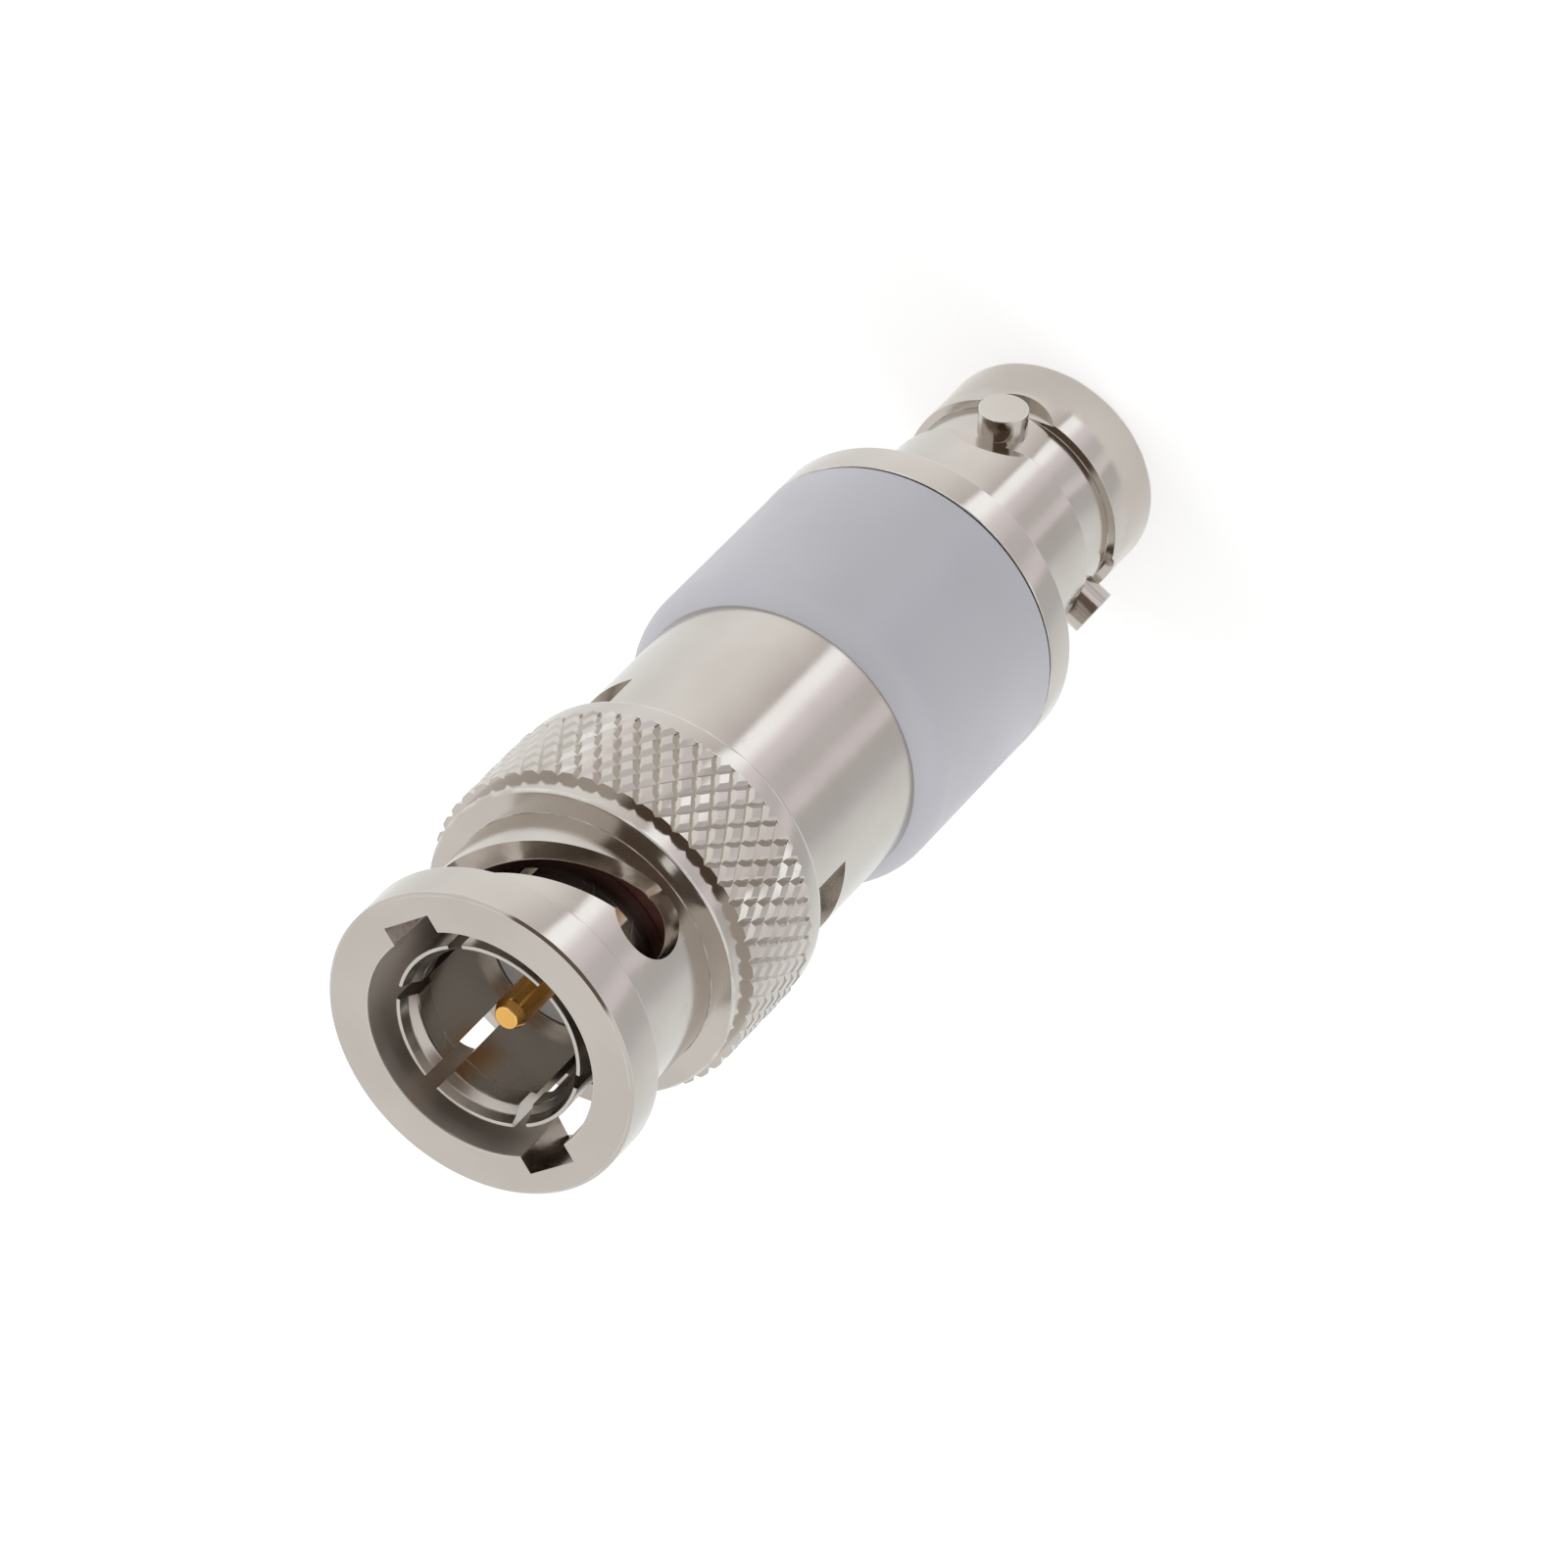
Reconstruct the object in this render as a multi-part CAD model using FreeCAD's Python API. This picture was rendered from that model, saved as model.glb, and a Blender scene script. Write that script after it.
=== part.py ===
import FreeCAD, Part
import math
import os

# A bayonet plug to three-lug triaxial jack adapter, standing on the rim of its jack.
# Lengths are millimetres, angles are degrees. The axis is Z, upwards to the plug.
# An angle is measured about Z from the side that faces -Y towards the side that faces -X.

# Clearances
SEAT_GAP = 0.02
STOP_GAP = 0.05
WAVE_GAP = 0.02

# Centre pin and its link to the socket
PIN_RADIUS = 0.67
PIN_TIP_RADIUS = 0.48
PIN_TIP_LENGTH = 0.40
PIN_SETBACK = 1.95
PIN_SHANK_RADIUS = 0.95
PIN_SHANK_STAND = 0.10
PIN_COLLAR_RADIUS = 1.20
PIN_COLLAR_THICKNESS = 0.80
PIN_TAIL_RADIUS = 0.50
PIN_TAIL_LENGTH = 2.80
LINK_WALL = 0.48
LINK_WEB = 0.60
LINK_HOLE_GAP = 0.10
LINK_END_GAP = 0.30

# Socket contact
SOCKET_WALL = 0.31
SOCKET_HOLE_CLEARANCE = 0.02
SOCKET_HOLE_DEPTH = 5.00
SOCKET_SLOT_WIDTH = 0.25
SOCKET_SLOT_DEPTH = 4.00
SOCKET_SETBACK = 2.40
SOCKET_COLLAR_STEP = 0.40
SOCKET_COLLAR_THICKNESS = 1.00

# Insulators along the centre
JACK_INSULATOR_WALL = 1.26
JACK_INSULATOR_SETBACK = 2.70
PLUG_INSULATOR_RADIUS = 3.28
PLUG_INSULATOR_SETBACK = 6.50
BUSHING_LENGTH = 4.80
BARREL_INSULATOR_RADIUS = 3.58

# Guard contact, the middle conductor of the jack
GUARD_WALL = 0.55
GUARD_SETBACK = 1.80
GUARD_SLOTS = 4
GUARD_SLOT_WIDTH = 0.40
GUARD_SLOT_DEPTH = 5.00
GUARD_FLANGE_STEP = 1.15
GUARD_FLANGE_THICKNESS = 3.00

# Outer insulator of the jack and the ring that holds it
NOSE_WALL = 0.43
NOSE_SETBACK = 3.50
OUTER_INSULATOR_NECK_WALL = 0.63
OUTER_INSULATOR_BASE_WALL = 1.16
OUTER_INSULATOR_BASE_THICKNESS = 1.50
LOCK_RING_WALL = 0.86
LOCK_RING_THICKNESS = 1.50

# Jack shell
RIM_LENGTH = 3.15
RIM_WALL = 0.775
RIM_CHAMFER = 0.15
LUG_GROOVE_LENGTH = 2.35
LUG_GROOVE_DEPTH = 0.375
BOSS_LENGTH = 5.65
BOSS_WALL = 0.75
FLANGE_THICKNESS = 1.55
FLANGE_STEP = 0.02
FLANGE_CHAMFER = 0.08
MOUTH_DEPTH = 10.20
MOUTH_CHAMFER = 0.12
SHELL_TAIL_BORE_DEPTH = 3.50
SHELL_TAIL_LENGTH = 4.50
SHELL_TAIL_WALL = 1.20

# Bayonet lugs of the jack
LUGS = 3
FIRST_LUG_ANGLE = -31.5
LUG_RADIUS = 1.02
LUG_STAND = 0.675
LUG_HEIGHT = 4.45
LUG_CHAMFER = 0.08
LUG_POCKET_RADIUS = 2.10

# Insulating sleeve between the jack shell and the barrel
SLEEVE_STEP = 0.76
SLEEVE_WEB = 1.50
SLEEVE_ROUNDING_LENGTH = 1.40

# Barrel
BARREL_TAIL_LENGTH = 3.90
BARREL_TAIL_WALL = 1.18
BARREL_SHOWN_LENGTH = 8.65
BARREL_WALL = 1.55
BARREL_FLAT_DEPTH = 0.82
BARREL_FLAT_ANGLE = 84.5
BARREL_FLAT_LENGTH = 3.15

# Plug body
BODY_NECK_WALL = 0.61
BODY_FLANGE_STEP = 0.80
BODY_FLANGE_THICKNESS = 1.90

# Outer contact of the plug, a ferrule sawn into fingers
FINGERS = 6
FIRST_FINGER_SLOT_ANGLE = 5.0
FINGER_WALL = 0.32
FINGER_SETBACK = 0.60
FINGER_TIP_LENGTH = 0.80
FINGER_TIP_RELIEF = 0.02
FINGER_BUMP_LENGTH = 0.90
FINGER_BUMP_HEIGHT = 0.25
FINGER_RELIEF = 0.40
FINGER_RELIEF_LENGTH = 4.10
FINGER_SLOT_WIDTH = 0.65
FINGER_SLOT_DEPTH = 5.70
FERRULE_SEAT_DEPTH = 2.20
FERRULE_GROOVE_DEPTH = 0.20

# Front gasket
GASKET_BORE_CLEARANCE = 0.03
GASKET_WALL = 0.90
GASKET_THICKNESS = 0.90

# Spring stack that draws the nut back
THRUST_WASHER_THICKNESS = 0.40
THRUST_WASHER_CLEARANCE = 0.07
THRUST_WASHER_EDGE_CLEARANCE = 0.10
WAVE_WASHER_HEIGHT = 1.80
WAVE_WASHER_THICKNESS = 0.30
WAVE_WASHER_CLEARANCE = 0.07
WAVE_WASHER_EDGE_CLEARANCE = 0.20
WAVES = 3

# Retaining ring of the nut
RING_THICKNESS = 0.60
RING_CLEARANCE = 0.13
RING_GROOVE_DEPTH = 0.40
RING_SPLIT = 1.50

# Coupling nut
NUT_BORE_CLEARANCE = 0.15
NUT_CAVITY_CLEARANCE = 0.15
NUT_RECESS_CLEARANCE = 0.13
NUT_RECESS_DEPTH = 0.45
NUT_REAR_WALL = 0.65
NUT_REAR_RIM_LENGTH = 1.00
NUT_REAR_CHAMFER = 0.30
NUT_LIP_THICKNESS = 0.40
NUT_CAVITY_END_GAP = 0.30
NUT_WEB = 0.50
COLLAR_LENGTH = 0.90
COLLAR_WALL = 1.15
COLLAR_ROUNDING = 0.14
WAIST_LENGTH = 5.50
WAIST_WALL = 0.83
BELL_LENGTH = 2.00
BELL_WALL = 1.75
BELL_CHAMFER = 0.12
NUT_BORE_CHAMFER = 0.08

# Diamond knurl of the nut
KNURL_START_COUNT = 50
KNURL_ROW_COUNT = 6
KNURL_ROOT_STEP = 0.11
KNURL_DEPTH = 0.25

# Bayonet track of the nut: entry groove, ramp and detent, twice round
TRACKS = 2
ENTRY_ANGLE = -69.0
ENTRY_WIDTH = 2.30
ENTRY_FLOOR_STEP = 0.66
RAMP_END_ANGLE = 6.0
RAMP_START_DEPTH = 3.64
RAMP_END_DEPTH = 5.89
RAMP_WIDTH = 2.25
DETENT_ANGLE = 12.5
DETENT_DEPTH = 5.50
DETENT_RADIUS = 1.55

# Radii worked out outwards from the axis
socket_hole_radius = PIN_RADIUS + SOCKET_HOLE_CLEARANCE
socket_radius = socket_hole_radius + SOCKET_WALL
socket_collar_radius = socket_radius + SOCKET_COLLAR_STEP
link_radius = PIN_TAIL_RADIUS + SEAT_GAP + LINK_WALL
jack_insulator_radius = socket_radius + SEAT_GAP + JACK_INSULATOR_WALL
guard_bore = jack_insulator_radius + SEAT_GAP
guard_radius = guard_bore + GUARD_WALL
guard_flange_radius = guard_radius + GUARD_FLANGE_STEP
outer_insulator_bore = guard_radius + SEAT_GAP
nose_radius = outer_insulator_bore + NOSE_WALL
outer_insulator_neck_radius = outer_insulator_bore + OUTER_INSULATOR_NECK_WALL
outer_insulator_base_radius = outer_insulator_bore + OUTER_INSULATOR_BASE_WALL
mouth_bore = outer_insulator_base_radius + SEAT_GAP
rim_radius = mouth_bore + RIM_WALL
groove_radius = rim_radius - LUG_GROOVE_DEPTH
boss_radius = mouth_bore + BOSS_WALL
lug_top_radius = rim_radius + LUG_STAND
lock_ring_bore = outer_insulator_neck_radius + SEAT_GAP
lock_ring_radius = lock_ring_bore + LOCK_RING_WALL
shell_tail_bore = lock_ring_radius + SEAT_GAP
shell_tail_radius = shell_tail_bore + SHELL_TAIL_WALL
barrel_tail_bore = guard_flange_radius + SEAT_GAP
barrel_tail_radius = barrel_tail_bore + BARREL_TAIL_WALL
ferrule_base_bore = PLUG_INSULATOR_RADIUS + SEAT_GAP
finger_relief_bore = ferrule_base_bore + FINGER_RELIEF
finger_bump_bore = finger_relief_bore - FINGER_BUMP_HEIGHT
finger_tip_bore = finger_relief_bore + FINGER_TIP_RELIEF
ferrule_radius = finger_relief_bore + FINGER_WALL
body_front_bore = ferrule_radius + SEAT_GAP
neck_radius = body_front_bore + BODY_NECK_WALL
body_flange_radius = neck_radius + BODY_FLANGE_STEP
barrel_front_bore = neck_radius + SEAT_GAP
barrel_radius = barrel_front_bore + BARREL_WALL
barrel_middle_bore = BARREL_INSULATOR_RADIUS + SEAT_GAP
sleeve_radius = barrel_radius + SLEEVE_STEP
flange_radius = sleeve_radius + FLANGE_STEP
ferrule_groove_radius = ferrule_radius - FERRULE_GROOVE_DEPTH
gasket_bore = ferrule_groove_radius + GASKET_BORE_CLEARANCE
gasket_radius = gasket_bore + GASKET_WALL
nut_bore = gasket_radius + NUT_BORE_CLEARANCE
nut_cavity_radius = body_flange_radius + NUT_CAVITY_CLEARANCE
ring_groove_radius = nut_cavity_radius + RING_GROOVE_DEPTH
nut_recess_radius = barrel_radius + NUT_RECESS_CLEARANCE
nut_rim_radius = nut_recess_radius + NUT_REAR_WALL
collar_radius = nut_cavity_radius + COLLAR_WALL
waist_radius = nut_bore + WAIST_WALL
bell_radius = nut_bore + BELL_WALL
knurl_root_radius = collar_radius + KNURL_ROOT_STEP
knurl_tip_radius = knurl_root_radius + KNURL_DEPTH
entry_floor = nut_bore + ENTRY_FLOOR_STEP

# Heights worked out upwards from the rim of the jack
groove_top = RIM_LENGTH + LUG_GROOVE_LENGTH
flange_bottom = groove_top + BOSS_LENGTH
sleeve_bottom = flange_bottom + FLANGE_THICKNESS
shell_tail_top = sleeve_bottom + SHELL_TAIL_LENGTH
shell_web_top = shell_tail_top - SHELL_TAIL_BORE_DEPTH
lock_ring_top = shell_web_top + LOCK_RING_THICKNESS
outer_insulator_base_bottom = MOUTH_DEPTH - OUTER_INSULATOR_BASE_THICKNESS
barrel_bottom = shell_tail_top + SLEEVE_WEB
sleeve_top = barrel_bottom + BARREL_TAIL_LENGTH
nut_bottom = sleeve_top + BARREL_SHOWN_LENGTH
nut_recess_top = nut_bottom + NUT_RECESS_DEPTH
barrel_top = nut_recess_top - STOP_GAP
ring_groove_bottom = nut_recess_top + NUT_LIP_THICKNESS
ring_bottom = ring_groove_bottom + STOP_GAP
ring_top = ring_bottom + RING_THICKNESS
ring_groove_top = ring_top + STOP_GAP
thrust_washer_bottom = ring_top + STOP_GAP
thrust_washer_top = thrust_washer_bottom + THRUST_WASHER_THICKNESS
body_flange_bottom = thrust_washer_top + WAVE_WASHER_HEIGHT
body_flange_top = body_flange_bottom + BODY_FLANGE_THICKNESS
gasket_top = body_flange_top + GASKET_THICKNESS
nut_cavity_top = body_flange_top + NUT_CAVITY_END_GAP
shoulder = nut_cavity_top + NUT_WEB
bell_bottom = shoulder + WAIST_LENGTH
front = bell_bottom + BELL_LENGTH
knurl_bottom = nut_bottom + NUT_REAR_RIM_LENGTH
knurl_top = shoulder - COLLAR_LENGTH
guard_top = barrel_bottom + GUARD_FLANGE_THICKNESS
link_length = 2 * (PIN_TAIL_LENGTH + LINK_HOLE_GAP) + LINK_WEB
link_top = guard_top + link_length
barrel_insulator_top = link_top + LINK_END_GAP
bushing_top = barrel_insulator_top + BUSHING_LENGTH
pin_tip = front - PIN_SETBACK
plug_insulator_top = front - PLUG_INSULATOR_SETBACK
finger_tip = front - FINGER_SETBACK
finger_relief_top = finger_tip - FINGER_TIP_LENGTH - FINGER_BUMP_LENGTH
ferrule_bottom = body_flange_top - FERRULE_SEAT_DEPTH

UP = FreeCAD.Vector(0, 0, 1)
ORIGIN = FreeCAD.Vector(0, 0, 0)


class Outline:
    """Half section of a turned piece, drawn edge by edge in radius and height."""

    def __init__(self, radius, height):
        self.start = FreeCAD.Vector(radius, 0, height)
        self.end = self.start
        self.edges = []

    def to(self, radius, height):
        """Adds a straight edge to the point."""
        point = FreeCAD.Vector(radius, 0, height)
        self.edges.append(Part.makeLine(self.end, point))
        self.end = point
        return self

    def round_to(self, radius, height):
        """Adds a round edge that leaves straight up and curves in to the point."""
        step = self.end.x - radius
        rise = height - self.end.z
        bend = (step ** 2 + rise ** 2) / (2 * step)
        half_turn = math.atan2(rise, bend - step) / 2
        middle = FreeCAD.Vector(
            self.end.x - bend * (1 - math.cos(half_turn)), 0, self.end.z + bend * math.sin(half_turn)
        )
        point = FreeCAD.Vector(radius, 0, height)
        self.edges.append(Part.Arc(self.end, middle, point).toShape())
        self.end = point
        return self

    def turned(self):
        """Closes the outline and turns it about the axis."""
        self.to(self.start.x, self.start.z)
        return Part.Face(Part.Wire(self.edges)).revolve(ORIGIN, UP, 360)


def tube(inner, outer, bottom, top):
    """Plain tube, washer or sleeve."""
    return Outline(inner, bottom).to(outer, bottom).to(outer, top).to(inner, top).turned()


def at_angle(shape, angle):
    """Turns a shape that was drawn towards -Y to its angle about the axis."""
    shape.rotate(ORIGIN, UP, -angle)
    return shape


def saw_cut(angle, width, reach, bottom, top):
    """Radial slot from the axis outwards."""
    block = Part.makeBox(width, reach, top - bottom, FreeCAD.Vector(-width / 2, -reach, bottom))
    return at_angle(block, angle)


def cross_hole(angle, radius, nearest, farthest, height):
    """Round cutter square to the axis, between two distances from it."""
    start = FreeCAD.Vector(0, -nearest, height)
    drill = Part.makeCylinder(radius, farthest - nearest, start, FreeCAD.Vector(0, -1, 0))
    return at_angle(drill, angle)


def save(shape, name):
    """Writes one piece."""
    shape.exportStep("parts/" + name + ".step")


# Jack end

def bayonet_lug(angle):
    """Round stud that stands out of the lug groove, with a small chamfer at its top."""
    root = groove_radius - LUG_STAND
    length = lug_top_radius - root
    stud = (
        Outline(0, 0)
        .to(LUG_RADIUS, 0)
        .to(LUG_RADIUS, length - LUG_CHAMFER)
        .to(LUG_RADIUS - LUG_CHAMFER, length)
        .to(0, length)
        .turned()
    )
    stud.rotate(ORIGIN, FreeCAD.Vector(1, 0, 0), 90)
    stud.translate(FreeCAD.Vector(0, -root, LUG_HEIGHT))
    return at_angle(stud, angle)


def jack_shell():
    """Outer shell of the jack: rim, lug groove, boss, flange and the tail inside the sleeve."""
    shell = (
        Outline(mouth_bore + MOUTH_CHAMFER, 0)
        .to(rim_radius - RIM_CHAMFER, 0)
        .to(rim_radius, RIM_CHAMFER)
        .to(rim_radius, RIM_LENGTH)
        .to(groove_radius, RIM_LENGTH)
        .to(groove_radius, groove_top)
        .to(boss_radius, groove_top)
        .to(boss_radius, flange_bottom)
        .to(flange_radius - FLANGE_CHAMFER, flange_bottom)
        .to(flange_radius, flange_bottom + FLANGE_CHAMFER)
        .to(flange_radius, sleeve_bottom - FLANGE_CHAMFER)
        .to(flange_radius - FLANGE_CHAMFER, sleeve_bottom)
        .to(shell_tail_radius, sleeve_bottom)
        .to(shell_tail_radius, shell_tail_top)
        .to(shell_tail_bore, shell_tail_top)
        .to(shell_tail_bore, shell_web_top)
        .to(lock_ring_bore, shell_web_top)
        .to(lock_ring_bore, MOUTH_DEPTH)
        .to(mouth_bore, MOUTH_DEPTH)
        .to(mouth_bore, MOUTH_CHAMFER)
        .turned()
    )
    for number in range(LUGS):
        angle = FIRST_LUG_ANGLE + number * 360 / LUGS
        shell = shell.cut(cross_hole(angle, LUG_POCKET_RADIUS, groove_radius, flange_radius, LUG_HEIGHT))
        shell = shell.fuse(bayonet_lug(angle))
    return shell.removeSplitter()


def jack_outer_insulator():
    """Insulator between the shell and the guard contact: nose, base on the web, and neck."""
    return (
        Outline(outer_insulator_bore, NOSE_SETBACK)
        .to(nose_radius, NOSE_SETBACK)
        .to(nose_radius, outer_insulator_base_bottom)
        .to(outer_insulator_base_radius, outer_insulator_base_bottom)
        .to(outer_insulator_base_radius, MOUTH_DEPTH)
        .to(outer_insulator_neck_radius, MOUTH_DEPTH)
        .to(outer_insulator_neck_radius, lock_ring_top)
        .to(outer_insulator_bore, lock_ring_top)
        .turned()
    )


def lock_ring():
    """Ring behind the web that holds the outer insulator by its neck."""
    return tube(lock_ring_bore, lock_ring_radius, shell_web_top, lock_ring_top)


def guard_contact():
    """Middle conductor: a tube sawn into tines at the mouth, with a flange in the barrel."""
    contact = (
        Outline(guard_bore, GUARD_SETBACK)
        .to(guard_radius, GUARD_SETBACK)
        .to(guard_radius, barrel_bottom)
        .to(guard_flange_radius, barrel_bottom)
        .to(guard_flange_radius, guard_top)
        .to(guard_bore, guard_top)
        .turned()
    )
    slot_top = GUARD_SETBACK + GUARD_SLOT_DEPTH
    for number in range(GUARD_SLOTS):
        angle = number * 360 / GUARD_SLOTS
        contact = contact.cut(saw_cut(angle, GUARD_SLOT_WIDTH, 2 * guard_radius, 0, slot_top))
    return contact


def jack_inner_insulator():
    """Insulator between the guard contact and the socket, counterbored for the collar."""
    collar_bottom = guard_top - SOCKET_COLLAR_THICKNESS
    return (
        Outline(socket_radius + SEAT_GAP, JACK_INSULATOR_SETBACK)
        .to(jack_insulator_radius, JACK_INSULATOR_SETBACK)
        .to(jack_insulator_radius, guard_top)
        .to(socket_collar_radius + SEAT_GAP, guard_top)
        .to(socket_collar_radius + SEAT_GAP, collar_bottom)
        .to(socket_radius + SEAT_GAP, collar_bottom)
        .turned()
    )


def socket_contact():
    """Gold socket of the jack: split mouth, collar, and a tail into the link."""
    collar_bottom = guard_top - SOCKET_COLLAR_THICKNESS
    tail_top = guard_top + PIN_TAIL_LENGTH
    contact = (
        Outline(0, SOCKET_SETBACK + SOCKET_HOLE_DEPTH)
        .to(socket_hole_radius, SOCKET_SETBACK + SOCKET_HOLE_DEPTH)
        .to(socket_hole_radius, SOCKET_SETBACK)
        .to(socket_radius, SOCKET_SETBACK)
        .to(socket_radius, collar_bottom)
        .to(socket_collar_radius, collar_bottom)
        .to(socket_collar_radius, guard_top)
        .to(PIN_TAIL_RADIUS, guard_top)
        .to(PIN_TAIL_RADIUS, tail_top)
        .to(0, tail_top)
        .turned()
    )
    slot_top = SOCKET_SETBACK + SOCKET_SLOT_DEPTH
    for angle in (0, 180):
        contact = contact.cut(saw_cut(angle, SOCKET_SLOT_WIDTH, 2 * socket_radius, 0, slot_top))
    return contact


# Middle

def insulating_sleeve():
    """Sleeve that keeps the jack shell apart from the barrel, with a rounded front edge."""
    return (
        Outline(shell_tail_radius + SEAT_GAP, sleeve_bottom)
        .to(sleeve_radius, sleeve_bottom)
        .to(sleeve_radius, sleeve_top - SLEEVE_ROUNDING_LENGTH)
        .round_to(barrel_radius, sleeve_top)
        .to(barrel_tail_radius + SEAT_GAP, sleeve_top)
        .to(barrel_tail_radius + SEAT_GAP, barrel_bottom)
        .to(outer_insulator_bore, barrel_bottom)
        .to(outer_insulator_bore, shell_tail_top)
        .to(shell_tail_radius + SEAT_GAP, shell_tail_top)
        .turned()
    )


def barrel():
    """Body of the adapter, with a tail in the sleeve and two wrench flats by the nut."""
    body = (
        Outline(barrel_tail_bore, barrel_bottom)
        .to(barrel_tail_radius, barrel_bottom)
        .to(barrel_tail_radius, sleeve_top)
        .to(barrel_radius, sleeve_top)
        .to(barrel_radius, barrel_top)
        .to(barrel_front_bore, barrel_top)
        .to(barrel_front_bore, barrel_insulator_top)
        .to(barrel_middle_bore, barrel_insulator_top)
        .to(barrel_middle_bore, guard_top)
        .to(barrel_tail_bore, guard_top)
        .turned()
    )
    flat_bottom = nut_bottom - BARREL_FLAT_LENGTH
    flat = Part.makeBox(
        2 * barrel_radius,
        barrel_radius,
        barrel_top - flat_bottom,
        FreeCAD.Vector(-barrel_radius, BARREL_FLAT_DEPTH - 2 * barrel_radius, flat_bottom),
    )
    for side in (0, 180):
        body = body.cut(at_angle(flat.copy(), BARREL_FLAT_ANGLE + side))
    return body


def barrel_insulator():
    """Insulator round the link, between the guard contact and the plug body."""
    return tube(link_radius + SEAT_GAP, BARREL_INSULATOR_RADIUS, guard_top, barrel_insulator_top)


def contact_link():
    """Short rod with a hole at each end, joining the tails of the pin and the socket."""
    hole = PIN_TAIL_RADIUS + SEAT_GAP
    depth = PIN_TAIL_LENGTH + LINK_HOLE_GAP
    return (
        Outline(0, guard_top + depth)
        .to(hole, guard_top + depth)
        .to(hole, guard_top)
        .to(link_radius, guard_top)
        .to(link_radius, link_top)
        .to(hole, link_top)
        .to(hole, link_top - depth)
        .to(0, link_top - depth)
        .turned()
    )


# Plug end

def centre_pin():
    """Gold pin of the plug: tail, shank with a holding collar, thin front and tapered tip."""
    tail_bottom = link_top - PIN_TAIL_LENGTH
    collar_top = bushing_top + PIN_COLLAR_THICKNESS
    shank_top = plug_insulator_top + PIN_SHANK_STAND
    return (
        Outline(0, tail_bottom)
        .to(PIN_TAIL_RADIUS, tail_bottom)
        .to(PIN_TAIL_RADIUS, link_top)
        .to(PIN_SHANK_RADIUS, link_top)
        .to(PIN_SHANK_RADIUS, bushing_top)
        .to(PIN_COLLAR_RADIUS, bushing_top)
        .to(PIN_COLLAR_RADIUS, collar_top)
        .to(PIN_SHANK_RADIUS, collar_top)
        .to(PIN_SHANK_RADIUS, shank_top)
        .to(PIN_RADIUS, shank_top)
        .to(PIN_RADIUS, pin_tip - PIN_TIP_LENGTH)
        .to(PIN_TIP_RADIUS, pin_tip)
        .to(0, pin_tip)
        .turned()
    )


def insulator_bushing():
    """Bushing in the plug body that carries the pin from behind its collar."""
    return tube(PIN_SHANK_RADIUS + SEAT_GAP, PLUG_INSULATOR_RADIUS, barrel_insulator_top, bushing_top)


def plug_insulator():
    """Front insulator of the plug, counterbored for the collar of the pin."""
    collar_top = bushing_top + PIN_COLLAR_THICKNESS
    return (
        Outline(PIN_COLLAR_RADIUS + SEAT_GAP, bushing_top)
        .to(PLUG_INSULATOR_RADIUS, bushing_top)
        .to(PLUG_INSULATOR_RADIUS, plug_insulator_top)
        .to(PIN_SHANK_RADIUS + SEAT_GAP, plug_insulator_top)
        .to(PIN_SHANK_RADIUS + SEAT_GAP, collar_top)
        .to(PIN_COLLAR_RADIUS + SEAT_GAP, collar_top)
        .turned()
    )


def plug_body():
    """Body of the plug: tail in the barrel, neck inside the nut, and spring flange."""
    return (
        Outline(ferrule_base_bore, barrel_insulator_top)
        .to(neck_radius, barrel_insulator_top)
        .to(neck_radius, body_flange_bottom)
        .to(body_flange_radius, body_flange_bottom)
        .to(body_flange_radius, body_flange_top)
        .to(body_front_bore, body_flange_top)
        .to(body_front_bore, ferrule_bottom)
        .to(ferrule_base_bore, ferrule_bottom)
        .turned()
    )


def outer_contact():
    """Ferrule of the plug: gasket groove, and fingers bored thin with a bump inside each tip."""
    relief_bottom = finger_relief_top - FINGER_RELIEF_LENGTH
    contact = (
        Outline(ferrule_base_bore, ferrule_bottom)
        .to(ferrule_radius, ferrule_bottom)
        .to(ferrule_radius, body_flange_top)
        .to(ferrule_groove_radius, body_flange_top)
        .to(ferrule_groove_radius, gasket_top + STOP_GAP)
        .to(ferrule_radius, gasket_top + STOP_GAP)
        .to(ferrule_radius, finger_tip)
        .to(finger_tip_bore, finger_tip)
        .to(finger_tip_bore, finger_tip - FINGER_TIP_LENGTH)
        .to(finger_bump_bore, finger_tip - FINGER_TIP_LENGTH)
        .to(finger_bump_bore, finger_relief_top)
        .to(finger_relief_bore, finger_relief_top)
        .to(finger_relief_bore, relief_bottom)
        .to(ferrule_base_bore, relief_bottom)
        .turned()
    )
    slot_bottom = finger_tip - FINGER_SLOT_DEPTH
    for number in range(FINGERS):
        angle = FIRST_FINGER_SLOT_ANGLE + number * 360 / FINGERS
        contact = contact.cut(saw_cut(angle, FINGER_SLOT_WIDTH, 2 * ferrule_radius, slot_bottom, front))
    return contact


def front_gasket():
    """Soft ring in the groove of the ferrule, which the mating jack presses on."""
    return tube(gasket_bore, gasket_radius, body_flange_top, gasket_top)


# Coupling nut and its spring stack

def wave_loop(radius, middle):
    """Closed curve at one radius whose height rises and falls once for each wave."""
    swing = (WAVE_WASHER_HEIGHT - WAVE_WASHER_THICKNESS) / 2 - WAVE_GAP
    steps = 16 * WAVES
    points = []
    for step in range(steps):
        turn = 2 * math.pi * step / steps
        height = middle + swing * math.sin(WAVES * turn)
        points.append(FreeCAD.Vector(radius * math.cos(turn), radius * math.sin(turn), height))
    curve = Part.BSplineCurve()
    curve.interpolate(points, PeriodicFlag=True)
    return curve.toShape()


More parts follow.
